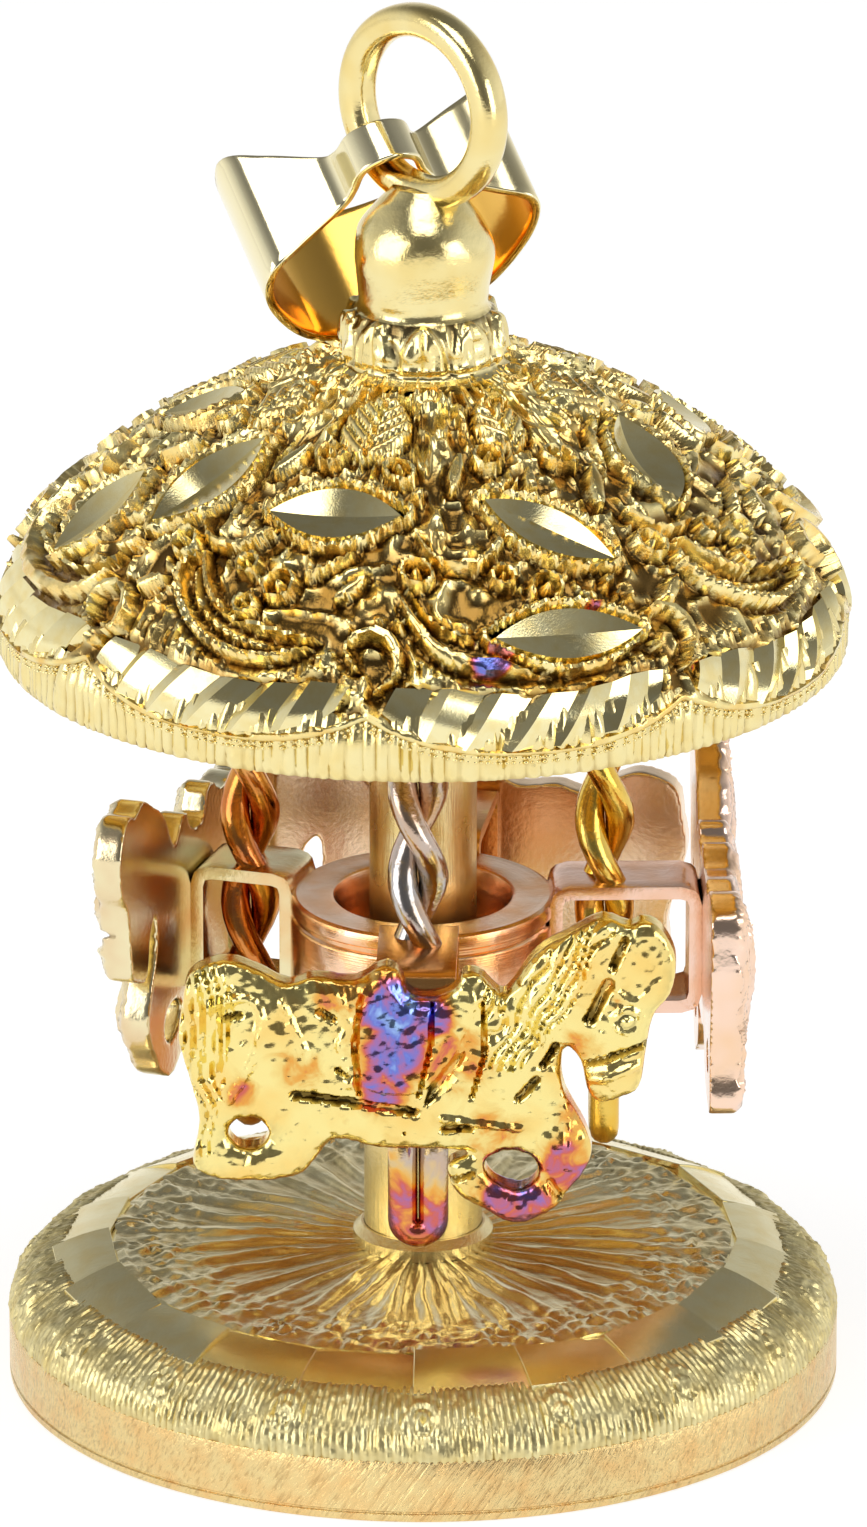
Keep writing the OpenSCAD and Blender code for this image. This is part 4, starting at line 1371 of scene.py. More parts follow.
    def _leaf(self, height: Array, phi: Array, t: Array, r: Array, at_phi: float,
              index: int) -> Array:
        """Adds a veined leaf that points down from the finial."""
        length, half = self.leaf_sizes[index % 2]
        x, y = self._local(phi, t, r, at_phi, self.dome.up_to(self.leaf_r), 0.0)
        along = np.clip(y / length + 0.5, 0, 1)
        edge = half * np.sin(math.pi * along ** 0.8) ** 0.75
        depth = edge - np.abs(x)
        on = (depth > 0) & (np.abs(y) < length / 2)
        vein = np.abs(np.sin((y - np.abs(x) * 1.1) * 11))
        leaf = (0.12 + 0.16 * np.clip(depth / 0.10, 0, 1) - 0.16 * (1 - vein) ** 2
                - 0.12 * bump(np.abs(x), 0.07))
        round_it = (depth > -0.07) & (np.abs(y) < length / 2 + 0.05)
        return np.where(on, leaf, np.where(round_it, 0.02, height))

    def milgrain(self) -> None:
        """Two close rows of tiny beads that follow the scalloped edge like a rope."""
        places = []
        for row in (0, 1):
            for i in range(self.grains):
                phi = 360 * (i + 0.5 * row) / self.grains
                t = float(self.wave(np.array(phi))) + 0.01 + self.grain_step * row
                swell = 0.8 + 0.35 * ((i * 37) % 11) / 11
                size = Matrix.Diagonal((swell, swell * 0.85, swell, 1))
                places.append(self.dome.frame(phi, t, 0, -0.075) @ size)
        Bench.clear()
        bpy.ops.mesh.primitive_uv_sphere_add(segments=8, ring_count=5, radius=self.grain_r)
        piece = Bench.copies(bpy.context.object, places, "canopy_milgrain")
        Bench.deliver(piece, "body", Gold.polished, (), sharp=80)

    def lobe_cuts(self) -> None:
        """The slanted diamond cuts along each lobe."""
        columns, rows = self.cuts * 2, 6
        pieces = []
        rng = np.random.default_rng(seed=5)
        for lobe in range(self.lobes):
            Bench.clear()
            bpy.ops.mesh.primitive_grid_add(x_subdivisions=columns, y_subdivisions=rows, size=2)
            band = bpy.context.object
            places = Bench.coords(band)
            col = np.rint((places[:, 0] + 1) / 2 * columns).astype(int)
            b = places[:, 1]
            ridge = col % 2 == 0
            steps = np.linspace(-1, 1, columns + 1)
            steps[1::2] += 0.35 / self.cuts
            steps[1:-1] += rng.uniform(-0.018, 0.018, columns - 1)
            a = steps[col] * self.cut_reach
            middle = self.lobe_turn + self.pitch * (lobe + 0.5)
            lean = self.cut_lean * b * np.clip(1.15 - np.abs(a), 0, 1)
            phi = middle + a * self.pitch / 2 + np.degrees(lean / 6.35)
            t = self.band_middle(middle + a * self.pitch / 2) + b * self.band_half(a)
            wobble = rng.uniform(-0.02, 0.02, columns + 1)[col]
            lift = np.where(ridge, self.ridge_up, -self.groove_down) + wobble - 0.03 * b * b
            r, z = self.dome.above(t, lift)
            Bench.put_round(band, r, np.radians(phi), z)
            Bench.apply(band, "SOLIDIFY", thickness=self.cut_sheet, offset=-1.0)
            Bench.tidy(band)
            pieces.append(band)
        piece = Bench.fuse("canopy_lobe_cuts", *pieces)
        Bench.deliver(piece, "body", Gold.cut, (), sharp=9)

    def marquise_cuts(self) -> None:
        """The pointed oval cuts, each with two polished faces."""
        pieces = []
        for number, cut in enumerate(self.marquises):
            Bench.clear()
            bpy.ops.mesh.primitive_grid_add(x_subdivisions=16, y_subdivisions=2, size=2)
            lens = bpy.context.object
            places = Bench.coords(lens)
            x, side = places[:, 0], np.sign(np.round(places[:, 1], 3))
            half = cut.width / 2 * (1 - x * x * 0.985)
            y = np.where(side == 0, self.facet_off[number % 2] * half, side * half)
            lift = np.where(side == 0, -self.facet_sink[number % 2] * half, 0.0)
            Bench.put(lens, np.stack([x * cut.length / 2, y, 0.06 + lift], 1))
            Bench.apply(lens, "SOLIDIFY", thickness=self.cut_sheet, offset=-1.0)
            lens.matrix_world = self.dome.frame(cut.phi, self.dome.up_to(cut.r), cut.turn, -0.005)
            Bench.bake_place(lens)
            Bench.tidy(lens)
            pieces.append(lens)
        piece = Bench.fuse("canopy_marquises", *pieces)
        Bench.deliver(piece, "body", Gold.cut, (), sharp=8)


# ---------------------------------------------------------------- finial, loop ring and bail


@dataclass
class Finial:
    """The finial: a leaf collar, a waist and a ball with the ring's seat on top."""

    crown_z: float = 16.2966
    foot_r: float = 1.35
    collar_r: float = 1.17
    ball_r: float = 1.03
    leaves: int = 9
    leaf_rise: float = 0.14
    crinkle_rise: float = 0.05    # height of the crinkles on and between the leaves
    dent_rise: float = 0.06       # height of the ball's soft dents

    def build(self) -> None:
        """Turns the finial and raises the leaves of its collar."""
        z0 = self.crown_z
        outline = smooth_loop([
            (self.foot_r, 0.02), (1.22, 0.10), (1.16, 0.20), (self.collar_r - 0.02, 0.34), (1.12, 0.66),
            (1.05, 0.84), (0.97, 0.96), (0.95, 1.08), (0.96, 1.25), (1.00, 1.48), (self.ball_r, 1.70),
            (1.01, 1.92), (0.94, 2.13), (0.83, 2.34), (0.69, 2.52), (0.55, 2.66), (0.45, 2.78)],
            5, closed=False)
        ends = [(0.0, z0 + 2.82), (0.0, z0 - 0.05), (self.foot_r, z0 - 0.05)]
        profile = [(r, z0 + z) for r, z in outline] + ends
        body = Bench.lathe("finial_body", profile, steps=264)
        places = Bench.coords(body)
        turn = Bench.turns(places)
        r = np.hypot(places[:, 0], places[:, 1])
        z = places[:, 2] - z0
        across = (turn / FULL_TURN) % 1.0
        collar = np.clip((z - 0.08) / 0.14, 0, 1) * np.clip((0.90 - z) / 0.10, 0, 1) * (r > 0.9)
        grain = Grain(seed=61)
        share = (turn * self.leaves / FULL_TURN + 0.5) % 1.0 - 0.5
        tip = np.clip(1 - ((z - 0.2) / 0.66) ** 2, 0.02, 1) ** 0.5
        leaf = np.clip((tip * 0.47 - np.abs(share)) / 0.12, 0, 1)
        fold = np.clip(1 - np.abs(share) / 0.07, 0, 1) * 0.35
        crinkle = crest(grain(across, z + 1, 44, 0.22), 2.5)
        uneven = 0.45 + 0.55 * grain(across, z + 1, 30, 0.3)
        heights = collar * (self.leaf_rise * leaf * (1 - fold) * uneven + self.crinkle_rise * crinkle)
        ball = np.clip((z - 0.9) / 0.2, 0, 1)
        below_seat = np.clip((2.4 - z) / 0.3, 0, 1)
        dents = self.dent_rise * grain(across, z + 1, 12, 0.55) * ball * below_seat
        Bench.emboss(body, np.maximum(heights + dents * (r > 0.3), 0))
        # Painted shade between and in the collar's leaves; the rest of the finial gets none.
        Bench.mark(body, np.where(collar > 0.2, heights / 0.11, 1.0))
        Bench.deliver(body, "body", Gold.collar, ("finial",), sharp=50)


@dataclass
class Loop:
    """The wire ring soldered in the finial's top."""

    hole_r: float = 1.08
    radial: float = 0.5
    axial: float = 0.56
    height: float = 20.3066
    turn: float = 42.0
    squareness: float = 2.5       # 2 for an ellipse, more for a squarer section
    section_points: int = 28

    def build(self) -> None:
        """Turns the ring's squarish section and stands the ring up."""
        middle = self.hole_r + self.radial / 2
        power = 2 / self.squareness
        section = []
        for i in range(self.section_points):
            a = FULL_TURN * i / self.section_points
            c, s = math.cos(a), math.sin(a)
            section.append((middle + self.radial / 2 * math.copysign(abs(c) ** power, c),
                            self.axial / 2 * math.copysign(abs(s) ** power, s)))
        ring = Bench.lathe("loop_wire", section, steps=144)
        ring.matrix_world = (Matrix.Translation((0, 0, self.height))
                             @ Matrix.Rotation(math.radians(-self.turn), 4, "Z")
                             @ Matrix.Rotation(math.radians(90), 4, "X"))
        Bench.deliver(ring, "body", Gold.polished, ("loop_ring",), sharp=60)


@dataclass
class Bail:
    """The pendant bail: a tapered strap bent into a loop that rides on the ring."""

    span: float = 4.3
    length: float = 2.94
    wide: float = 2.25
    narrow: float = 0.7
    sheet: float = 0.14
    eye_r: float = 0.5
    eye_turn: float = 230.0
    eye_hang: float = 0.05
    shoulder: float = 0.53
    ring: Loop = field(default_factory=Loop)
    length_way: tuple[float, float, float] = (-0.055, 0.631, -0.774)
    pass_way: tuple[float, float, float] = (0.352, -0.713, -0.606)

    def build(self) -> None:
        """Bends the strap, tapers it to its eye and hangs it on the ring."""
        leg = self.length - self.shoulder
        half = [(0.4, -0.41), (self.eye_r + self.sheet / 2, 0.0), (0.8, self.shoulder * 0.42),
                (self.span * 0.36, self.shoulder * 0.62), (self.span * 0.49, self.shoulder),
                (self.span * 0.47, self.shoulder + leg * 0.4),
                (self.span * 0.3, self.shoulder + leg * 0.86)]
        line = [(0.0, -self.eye_r - self.sheet / 2)] + half + [(0.0, self.length)]
        line = smooth_loop(line + [(-x, y) for x, y in reversed(half)], 8)
        strap = Bench.trace("bail_strap", [(x, y, 0.0) for x, y in line], closed=True)
        Bench.edit(strap, "EDGE")
        strips = 14
        bpy.ops.transform.translate(value=(0, 0, -1))
        for _ in range(strips):
            bpy.ops.mesh.extrude_region_move(TRANSFORM_OT_translate={"value": (0, 0, 2 / strips)})
        Bench.clear()
        places = Bench.coords(strap)
        legs = np.clip((np.abs(places[:, 0]) - self.eye_r) / (self.span / 2 - self.eye_r), 0, 1)
        legs = np.where(places[:, 1] < self.shoulder, legs, 1.0)
        width = self.narrow + (self.wide - self.narrow) * legs
        places[:, 2] *= width / 2
        Bench.put(strap, places)
        Bench.tidy(strap)
        Bench.thicken(strap, self.sheet, 0.03, 2)
        places = Bench.coords(strap)
        # Marks the faces inside the loop for the painted reflection of the finish.
        Bench.mark(strap, inside(places[:, 0], places[:, 1], line).astype(float), "inner")
        strap.matrix_world = self.place()
        Bench.deliver(strap, "bail", Gold.pale, ("bail",), sharp=50)

    def place(self) -> Matrix:
        """Gives the place of the strap's eye on the ring's wire."""
        up = Vector(self.length_way).normalized()
        side = up.cross(Vector(self.pass_way)).normalized()
        through = side.cross(up)
        mean = self.ring.hole_r + self.ring.radial / 2
        a, lean = math.radians(self.eye_turn), math.radians(self.ring.turn)
        spot = Vector((mean * math.cos(a) * math.cos(lean), -mean * math.cos(a) * math.sin(lean),
                       self.ring.height + mean * math.sin(a))) + up * self.eye_hang
        return placed(side, up, through, spot)


# ---------------------------------------------------------------- rotor


@dataclass
class Rotor:
    """What turns on the post: the hub ring, twisted poles and stamped horses."""

    turn: float = -1.5
    skews: tuple[float, ...] = (0.0, 3.0, -6.5, -16.0)
    lifts: tuple[float, ...] = (0.0, 0.4, 0.0, 0.75)
    reaches: tuple[float, ...] = (4.25, 4.25, 4.25, 3.55)
    hub_r: float = 2.03
    bore_r: float = 1.345
    hub_h: float = 1.8
    hub_top: float = 7.77
    pole_r: float = 2.78
    wire_r: float = 0.23
    pole_low: float = 3.05
    pole_lift: float = 0.6
    pole_len: float = 9.3
    pitch: float = 2.9
    straight: float = 1.2
    belly: float = 5.36
    strap_w: float = 1.2
    strap_t: float = 0.2
    strap_low: float = 5.98
    strap_h: float = 2.05
    corner: float = 0.22          # how far from a strap's corner its bend starts
    corner_pull: float = 0.05     # how far the bend cuts the corner

    def build(self) -> None:
        """Models the hub, the poles and the horses and dresses them."""
        self.hub()
        wires = (Gold.grey_wire, Gold.amber_wire, Gold.red_wire, Gold.red_wire)
        sides = ("front", "right", "back", "left")
        pole = self.twisted_pole()
        for k, (side, finish) in enumerate(zip(sides, wires)):
            place = self.at_place(k) @ Matrix.Translation(
                (0, -self.pole_r, self.pole_low + (k % 2) * self.pole_lift + 2 * self.wire_r))
            self._set(pole, place, f"pole_{side}_wire", finish, f"pole_{side}", 60)
        bpy.data.objects.remove(pole)
        horse = Horse().model()
        metals = (Gold.front_horse, Gold.right_horse, Gold.back_horse, Gold.left_horse)
        for k, (side, finish) in enumerate(zip(sides, metals)):
            spot = Matrix.Translation((0, -self.reaches[k], self.belly + self.lifts[k]))
            place = self.at_place(k) @ spot @ Matrix.Rotation(math.radians(90), 4, "X")
            self._set(horse, place, f"horse_{side}_stamping", finish, f"horse_{side}", 50)
        bpy.data.objects.remove(horse)
        straps = (Gold.fired, Gold.rose_strap, Gold.fired, Gold.green_strap)
        for k, (side, finish) in enumerate(zip(sides, straps)):
            self.bracket(k, f"bracket_{side}_strap", finish, f"bracket_{side}")

    def bracket(self, k: int, name: str, finish: Finish, node: str) -> None:
        """Bends a strap into a closed loop from the hub's wall to a horse's back.

        Args:
            k: The number of its place round the rotor.
            name: The name of the piece.
            finish: Its finish.
            node: The solid that it stands for.
        """
        reach, t = self.reaches[k], self.strap_t
        back = -math.sqrt(self.hub_r ** 2 - (self.strap_w / 2) ** 2) + 0.02
        low, top = self.strap_low, self.strap_low + self.strap_h
        mid = [(-reach + t / 2, low + t / 2), (back - t / 2, low + t / 2),
               (back - t / 2, top - t / 2), (-reach + t / 2, top - t / 2)]
        line = []
        for (ay, az), (by, bz), (cy, cz) in zip(mid[-1:] + mid[:-1], mid, mid[1:] + mid[:1]):
            for share in (-1.0, -0.5, -0.15, 0.15, 0.5, 1.0):
                ey, ez = (ay, az) if share < 0 else (cy, cz)
                step = self.corner * abs(share) / max(math.hypot(ey - by, ez - bz), 1e-6)
                pull = self.corner_pull * (1 - abs(share))
                line.append((by + (ey - by) * step + pull * (1 if by < -self.hub_r - 0.5 else -1),
                             bz + (ez - bz) * step + pull * (1 if bz < (low + top) / 2 else -1)))
        strap = Bench.trace(name, [(0.0, y, z) for y, z in line], closed=True)
        Bench.edit(strap, "EDGE")
        half = self.strap_w / 2
        bpy.ops.transform.translate(value=(-half, 0, 0))
        for _ in range(4):
            bpy.ops.mesh.extrude_region_move(TRANSFORM_OT_translate={"value": (half / 2, 0, 0)})
        Bench.tidy(strap)
        Bench.thicken(strap, t, 0.045, 3)
        strap.matrix_world = self.at_place(k)
        Bench.deliver(strap, "rotor", finish, (node,), sharp=50)

    def _set(self, master: Object, place: Matrix, name: str, finish: Finish, node: str,
             sharp: float) -> None:
        """Copies a master shape to its place on the rotor and dresses it."""
        piece = Bench.new(name, master.data.copy())
        piece.matrix_world = place
        Bench.deliver(piece, "rotor", finish, (node,), sharp)

    def at_place(self, k: int) -> Matrix:
        """Gives the turn of the k-th of the four places round the rotor."""
        return Matrix.Rotation(math.radians(self.turn + 90 * k + self.skews[k]), 4, "Z")

    def hub(self) -> None:
        """The hub ring with rounded lips and a turned groove."""
        b, r, top, low = self.bore_r, self.hub_r, self.hub_top, self.hub_top - self.hub_h
        profile = [(b, low + 0.06), (b + 0.05, low), (r - 0.08, low), (r - 0.02, low + 0.03),
                   (r, low + 0.09), (r, low + 0.8), (r, top - 0.40), (r - 0.02, top - 0.36),
                   (r - 0.06, top - 0.33),
                   (r - 0.06, top - 0.27), (r - 0.02, top - 0.25), (r, top - 0.22), (r, top - 0.10),
                   (r - 0.03, top - 0.03), (r - 0.09, top), (r - 0.30, top - 0.02), (b + 0.10, top),
                   (b + 0.03, top - 0.03), (b, top - 0.09), (b, top - 0.8)]
        ring = Bench.lathe("hub_turned", profile, steps=160)
        Bench.deliver(ring, "rotor", Gold.hub, ("hub_ring",), sharp=30)

    def twisted_pole(self) -> Object:
        """Bends a wire into a hairpin and twists its two strands together."""
        Bench.clear()
        strand = self.wire_r + 0.004
        bpy.ops.mesh.primitive_circle_add(vertices=14, radius=self.wire_r, location=(strand, 0, 0))
        pole = bpy.context.object
        Bench.bake_place(pole)
        Bench.edit(pole)
        bpy.ops.mesh.spin(steps=14, angle=math.pi, center=(0, 0, 0), axis=(0, 1, 0))
        Bench.tidy(pole)
        low_side = min(v.co.z for v in pole.data.vertices)
        if low_side > -self.wire_r:
            pole.rotation_euler = (math.pi, 0, 0)
            Bench.bake_place(pole)
        Bench.edit(pole)
        Bench.pick(pole, lambda co: abs(co.z) < 1e-4)
        run = self.pole_len - 2 * self.wire_r
        self._draw_up(self.straight, 4, 0.0)
        twist = FULL_TURN * (run - self.straight) / self.pitch
        self._draw_up(run - self.straight, round(26 * (run - self.straight) / self.pitch), twist)
        bpy.ops.mesh.edge_face_add()
        Bench.clear()
        Bench.tidy(pole)
        Bench.mark(pole, np.clip(1.4 - Bench.coords(pole)[:, 2], 0, 1), "stain")
        return pole

    @staticmethod
    def _draw_up(rise: float, steps: int, twist: float) -> None:
        """Extrudes the selected wire ends upwards while turning them about the pole.

        Args:
            rise: The height to gain.
            steps: The number of extrusions.
            twist: The turn over the whole height in radians.
        """
        for _ in range(steps):
            bpy.ops.mesh.extrude_region_move(TRANSFORM_OT_translate={"value": (0, 0, rise / steps)})
            if twist:
                bpy.ops.transform.rotate(value=twist / steps, orient_axis="Z", center_override=(0, 0, 0))


@dataclass
class Horse:
    """A stamped sheet horse that walks to the right, flat behind and in relief before."""

    sheet: float = 0.42
    voxel: float = 0.036          # size of the even mesh
    cloth_rise: float = 0.05      # how far the saddle cloth stands above the body
    stroke_depth: float = 0.12    # depth of the engraved strokes
    facet_depth: float = 0.10     # depth of the pointed oval cut
    eye: Point = (3.19, 2.16)
    outline: tuple[Point, ...] = (
        (0.97, 2.8), (1.28, 2.5), (1.45, 2.62), (1.81, 3.14), (2.28, 3.44), (2.8, 3.71), (3.18, 3.59),
        (3.42, 3.67), (3.68, 3.54), (3.9, 3.1), (3.84, 2.56), (3.57, 2.17), (3.46, 1.6),
        (3.37, 1.05), (3.13, 0.88), (2.8, 0.78), (2.6, 0.96), (2.49, 1.44), (2.28, 1.67),
        (2.2, 1.45), (2.24, 0.98), (2.54, 0.4), (2.66, 0), (2.53, -0.37), (2.28, -0.68),
        (2.1, -0.94), (1.55, -1.18), (1.05, -0.97), (0.63, -0.7), (0.5, -0.25), (0.88, -0.05),
        (0.4, 0), (-0.5, 0.02), (-1.18, 0.16),
        (-1.5, -0.18), (-1.73, -0.43), (-2.21, -0.52), (-2.97, -0.51), (-3.33, -0.28),
        (-3.26, 0.2), (-3.25, 0.6), (-3.42, 1.24), (-3.54, 1.75), (-3.48, 2.3), (-3.4, 2.7),
        (-3.15, 2.9), (-2.75, 2.98), (-2.3, 2.81), (-1.9, 2.62), (-1.5, 2.73), (-0.9, 2.68),
        (-0.5, 2.91), (-0.24, 2.84), (-0.06, 2.47), (0.3, 2.43), (0.6, 2.58), (0.72, 2.81))
    gap: tuple[Point, ...] = (
        (1.05, -0.2), (1.35, -0.02), (1.75, -0.1), (1.85, -0.4), (1.6, -0.62), (1.2, -0.5))
    tail_hole: tuple[Point, ...] = ((-2.81, 0.24), (-2.65, 0.46), (-2.35, 0.46), (-2.19, 0.24),
                                    (-2.35, 0.02), (-2.65, 0.02))
    cloth: tuple[Point, ...] = (
        (-0.82, 2.6), (-0.45, 2.8), (-0.15, 2.4), (0.3, 2.33), (0.66, 2.68), (0.95, 2.4),
        (0.62, 1.6), (0.12, 1.0), (-0.72, 1.06), (-0.86, 1.9))
    bulges: tuple[tuple[float, float, float, float], ...] = (
        (-0.6, 1.1, 1.5, 0.10), (-2.1, 1.6, 1.15, 0.14), (1.3, 1.2, 1.0, 0.10), (2.1, 2.4, 0.8, 0.06),
        (3.1, 2.05, 0.55, 0.12), (2.95, 1.25, 0.42, 0.09), (-2.4, -0.2, 0.5, 0.06),
        (2.2, 0.0, 0.5, 0.07), (1.5, -0.85, 0.5, 0.05))
    mane_area: tuple[Point, ...] = (
        (1.0, 1.3), (0.95, 2.2), (1.0, 2.75), (1.5, 2.75), (1.85, 3.2), (2.3, 3.5), (2.8, 3.75),
        (3.1, 3.55), (2.66, 2.9), (2.35, 2.2), (2.1, 1.85), (1.6, 1.25))
    tail_area: tuple[Point, ...] = (
        (-3.6, 1.2), (-3.65, 2.3), (-3.45, 2.8), (-2.9, 3.0), (-2.62, 2.5), (-2.7, 1.8), (-2.8, 1.0),
        (-2.95, 0.4), (-3.0, -0.1), (-3.4, -0.35), (-3.35, 0.3))
    # Engraved strokes: their half width, how much painted shade fills them, and their points.
    strokes: tuple[tuple[float, float, tuple[Point, ...]], ...] = (
        (0.10, 1.0, ((-1.80, 0.90), (-0.90, 0.80), (-0.01, 0.65))),
        (0.07, 1.0, ((0.43, 0.35), (0.85, 0.38))),
        (0.09, 0.9, ((1.56, 0.90), (1.83, 1.18))), (0.08, 1.0, ((1.93, 1.41), (2.11, 1.71))),
        (0.12, 1.0, ((2.62, 2.15), (2.90, 2.72))), (0.09, 0.9, ((2.98, 3.00), (3.14, 3.40))),
        (0.07, 0.7, ((2.61, 1.43), (3.45, 1.74))), (0.08, 0.9, ((-1.42, 2.24), (-1.22, 2.12))),
        (0.06, 0.8, ((-1.15, 1.32), (-1.02, 1.24))), (0.09, 0.8, ((2.02, -0.50), (2.16, -0.72))),
        (0.06, 0.7, ((0.52, -0.50), (0.86, -0.36))), (0.07, 0.8, ((-2.82, 2.14), (-2.62, 2.18))),
        (0.05, 0.5, ((-0.80, 2.50), (-0.90, 1.70), (-0.84, 0.96))),
        (0.04, 0.4, ((0.27, 2.35), (0.24, 1.70), (0.06, 0.92))),
        (0.04, 0.4, ((1.02, 2.40), (1.05, 1.60), (0.86, 0.90))))
    # Raised ridges: their half width, rise and points.
    ridges: tuple[tuple[float, float, tuple[Point, ...]], ...] = (
        (0.11, 0.08, ((-3.05, 2.30), (-2.55, 2.46), (-2.30, 2.20), (-2.42, 1.50), (-2.78, 0.80))),
        (0.08, 0.06, ((-1.98, 2.40), (-1.66, 1.70), (-1.50, 1.05))),
        (0.09, 0.06, ((-1.10, 2.50), (-1.00, 2.00), (-1.12, 1.70), (-0.98, 1.10))),
        (0.12, 0.08, ((2.62, 1.20), (3.38, 1.42))),
        (0.08, 0.06, ((0.40, 0.55), (1.00, 0.46), (1.60, 0.40))),
        (0.10, 0.06, ((2.10, 1.30), (2.30, 0.60), (2.32, -0.20))),
        (0.07, 0.05, ((3.10, 3.40), (3.00, 2.70), (3.30, 2.45), (3.62, 2.75))))
    # Heat stains: their middle, reach and strength.
    stains: tuple[tuple[float, float, float, float], ...] = (
        (-0.35, 2.30, 0.85, 1.10), (-0.30, 1.65, 0.85, 1.15), (-0.45, 1.10, 0.70, 0.95),
        (0.25, 2.15, 0.60, 0.85), (0.60, 1.50, 0.80, 0.60), (1.50, -0.85, 1.00, 0.95),
        (2.30, -0.20, 0.80, 0.80), (2.50, 0.60, 0.60, 0.55), (2.50, 1.75, 0.45, 0.50),
        (-1.10, 2.50, 0.70, 0.50), (1.20, 0.30, 0.80, 0.50), (-2.60, 0.90, 0.45, 0.50),
        (-1.70, 1.30, 0.60, 0.40), (2.90, 2.60, 0.50, 0.35))

    def model(self) -> Object:
        """Cuts the sheet, fills it with even mesh and strikes the relief.

        Returns:
            One horse, its outline upright and its thickness along Z.
        """
        loops = [Bench.trace(f"outline_{i}", [(x, y, 0.0) for x, y in smooth_loop(points, 4)], closed=True)
                 for i, points in enumerate((self.outline, self.gap, self.tail_hole))]
        horse = Bench.fuse("horse_master", *loops)
        Bench.edit(horse, "EDGE")
        bpy.ops.mesh.fill()
        bpy.ops.mesh.select_all(action="SELECT")
        bpy.ops.mesh.extrude_region_move(TRANSFORM_OT_translate={"value": (0, 0, self.sheet)})
        Bench.tidy(horse)
        Bench.apply(horse, "REMESH", mode="VOXEL", voxel_size=self.voxel, adaptivity=0.0)
        Bench.apply(horse, "SMOOTH", factor=0.5, iterations=5)
        self.strike(horse)
        return horse

    def strike(self, horse: Object) -> None:
        """Strikes the body's swell, the harness, the mane and the tail.

        Args:
            horse: The cut sheet, filled with even mesh.
        """
        places = Bench.coords(horse)
        x, y, z = places.T
        front = np.clip((z - self.sheet * 0.45) / (self.sheet * 0.5), 0, 1)
        rim = nearest(x, y, smooth_loop(self.outline, 4), closed=True)[0]
        for hole in (self.gap, self.tail_hole):
            rim = np.minimum(rim, nearest(x, y, smooth_loop(hole, 4), closed=True)[0])
        height = 0.10 + 0.12 * (1 - np.exp(-rim / 0.12))
        for bx, by, reach, rise in self.bulges:
            height += rise * bump(np.hypot(x - bx, y - by), reach)
        for width, rise, points in self.ridges:
            height += rise * bump(nearest(x, y, smooth_loop(points, 4, closed=False))[0], width)
        grain = Grain(seed=71)
        across, up = (x + 5) / 10, y + 3
        height += self._hair(x, y, self.mane_area, (0.90, -0.44), 0.17, grain(across, up, 30, 0.5))
        height += self._hair(x, y, self.tail_area, (1.0, 0.10), 0.16, grain(across, up, 26, 0.6))
        cloth = smooth_loop(self.cloth, 4)
        seam = nearest(x, y, cloth, closed=True)[0]
        height += self.cloth_rise * np.where(inside(x, y, cloth), np.clip(seam / 0.04, 0, 1), 0)
        # Painted shade in the engraved strokes, gathered for the relief mark below.
        painted_dark = np.zeros(len(x))
        for width, tone, points in self.strokes:
            cut = bump(nearest(x, y, points)[0], width)
            height -= self.stroke_depth * np.clip(cut * 1.5, 0, 1)
            painted_dark = np.maximum(painted_dark, tone * np.clip(cut * 2.2, 0, 1))
        # The pointed oval cut is sunk and painted dark as a painted reflection.
        facet = self._facet(x, y, (0.45, 1.18), 55, 1.08, 0.34)
        height -= self.facet_depth * facet
        painted_dark = np.maximum(painted_dark, 0.85 * np.clip(facet * 3, 0, 1))
        eye = np.hypot(x - self.eye[0], (y - self.eye[1]) * 1.1)
        height += 0.05 * bump(np.abs(eye - 0.20), 0.06) + 0.07 * bump(eye, 0.10)
        # Painted shade in the groove round the eye's boss.
        painted_dark = np.maximum(painted_dark, 0.6 * bump(np.abs(eye - 0.11), 0.05))
        height += 0.035 * (grain(across, up, 90, 0.12) - 0.5) + 0.02 * crest(grain(across, up, 150, 0.07))
        height = np.clip(height, 0.02, 0.58)
        Bench.emboss_up(horse, front * height - 0.12 * front)
        # Painted shade in the low places of the relief, clear of the outline.
        low = np.clip(1 - (height - 0.12) / 0.10, 0, 1) * 0.5 * (rim > 0.05)
        # The relief mark here holds only the painted shade and painted dark reflection gathered above.
        Bench.mark(horse, np.where(front > 0.3, (1 - np.maximum(painted_dark, low)) * 0.46, 0.46))
        stain = np.zeros(len(x))
        for sx, sy, reach, strength in self.stains:
            stain = np.maximum(stain, strength * mesa(np.hypot(x - sx, y - sy), reach))
        Bench.mark(horse, stain, "stain")

    @staticmethod
    def _hair(x: Array, y: Array, area: Sequence[Point], way: Point, pitch: float,
              sway: Array) -> Array:
        """Strands of hair over an area, parted by grooves.

        Args:
            x: Places along the horse.
            y: Places up.
            area: The outline of the hair.
            way: The direction across the strands.
            pitch: The width of a strand.
            sway: Slow random values that bend the strands.

        Returns:
            The rise, below zero in the grooves.
        """
        away = nearest(x, y, area, closed=True)[0]
        on = np.where(inside(x, y, area), np.clip(away / 0.08, 0, 1), 0)
        across = (x * way[0] + y * way[1]) / pitch + sway * 1.6
        lock = np.abs(np.sin(math.pi * across)) ** 0.6
        fine = np.abs(np.sin(math.pi * across * 2.7)) ** 0.8
        return on * (0.10 * lock + 0.03 * fine - 0.07)

    @staticmethod
    def _facet(x: Array, y: Array, at: Point, turn: float, length: float, width: float) -> Array:
        """A pointed oval cut, 1 at its middle line and 0 at its edge."""
        c, s = math.cos(math.radians(turn)), math.sin(math.radians(turn))
        along, off = (x - at[0]) * c + (y - at[1]) * s, -(x - at[0]) * s + (y - at[1]) * c
        half = width / 2 * np.clip(1 - (2 * along / length) ** 2, 0.001, 1)
        return np.clip(1 - np.abs(off) / half, 0, 1)


# ---------------------------------------------------------------- studio


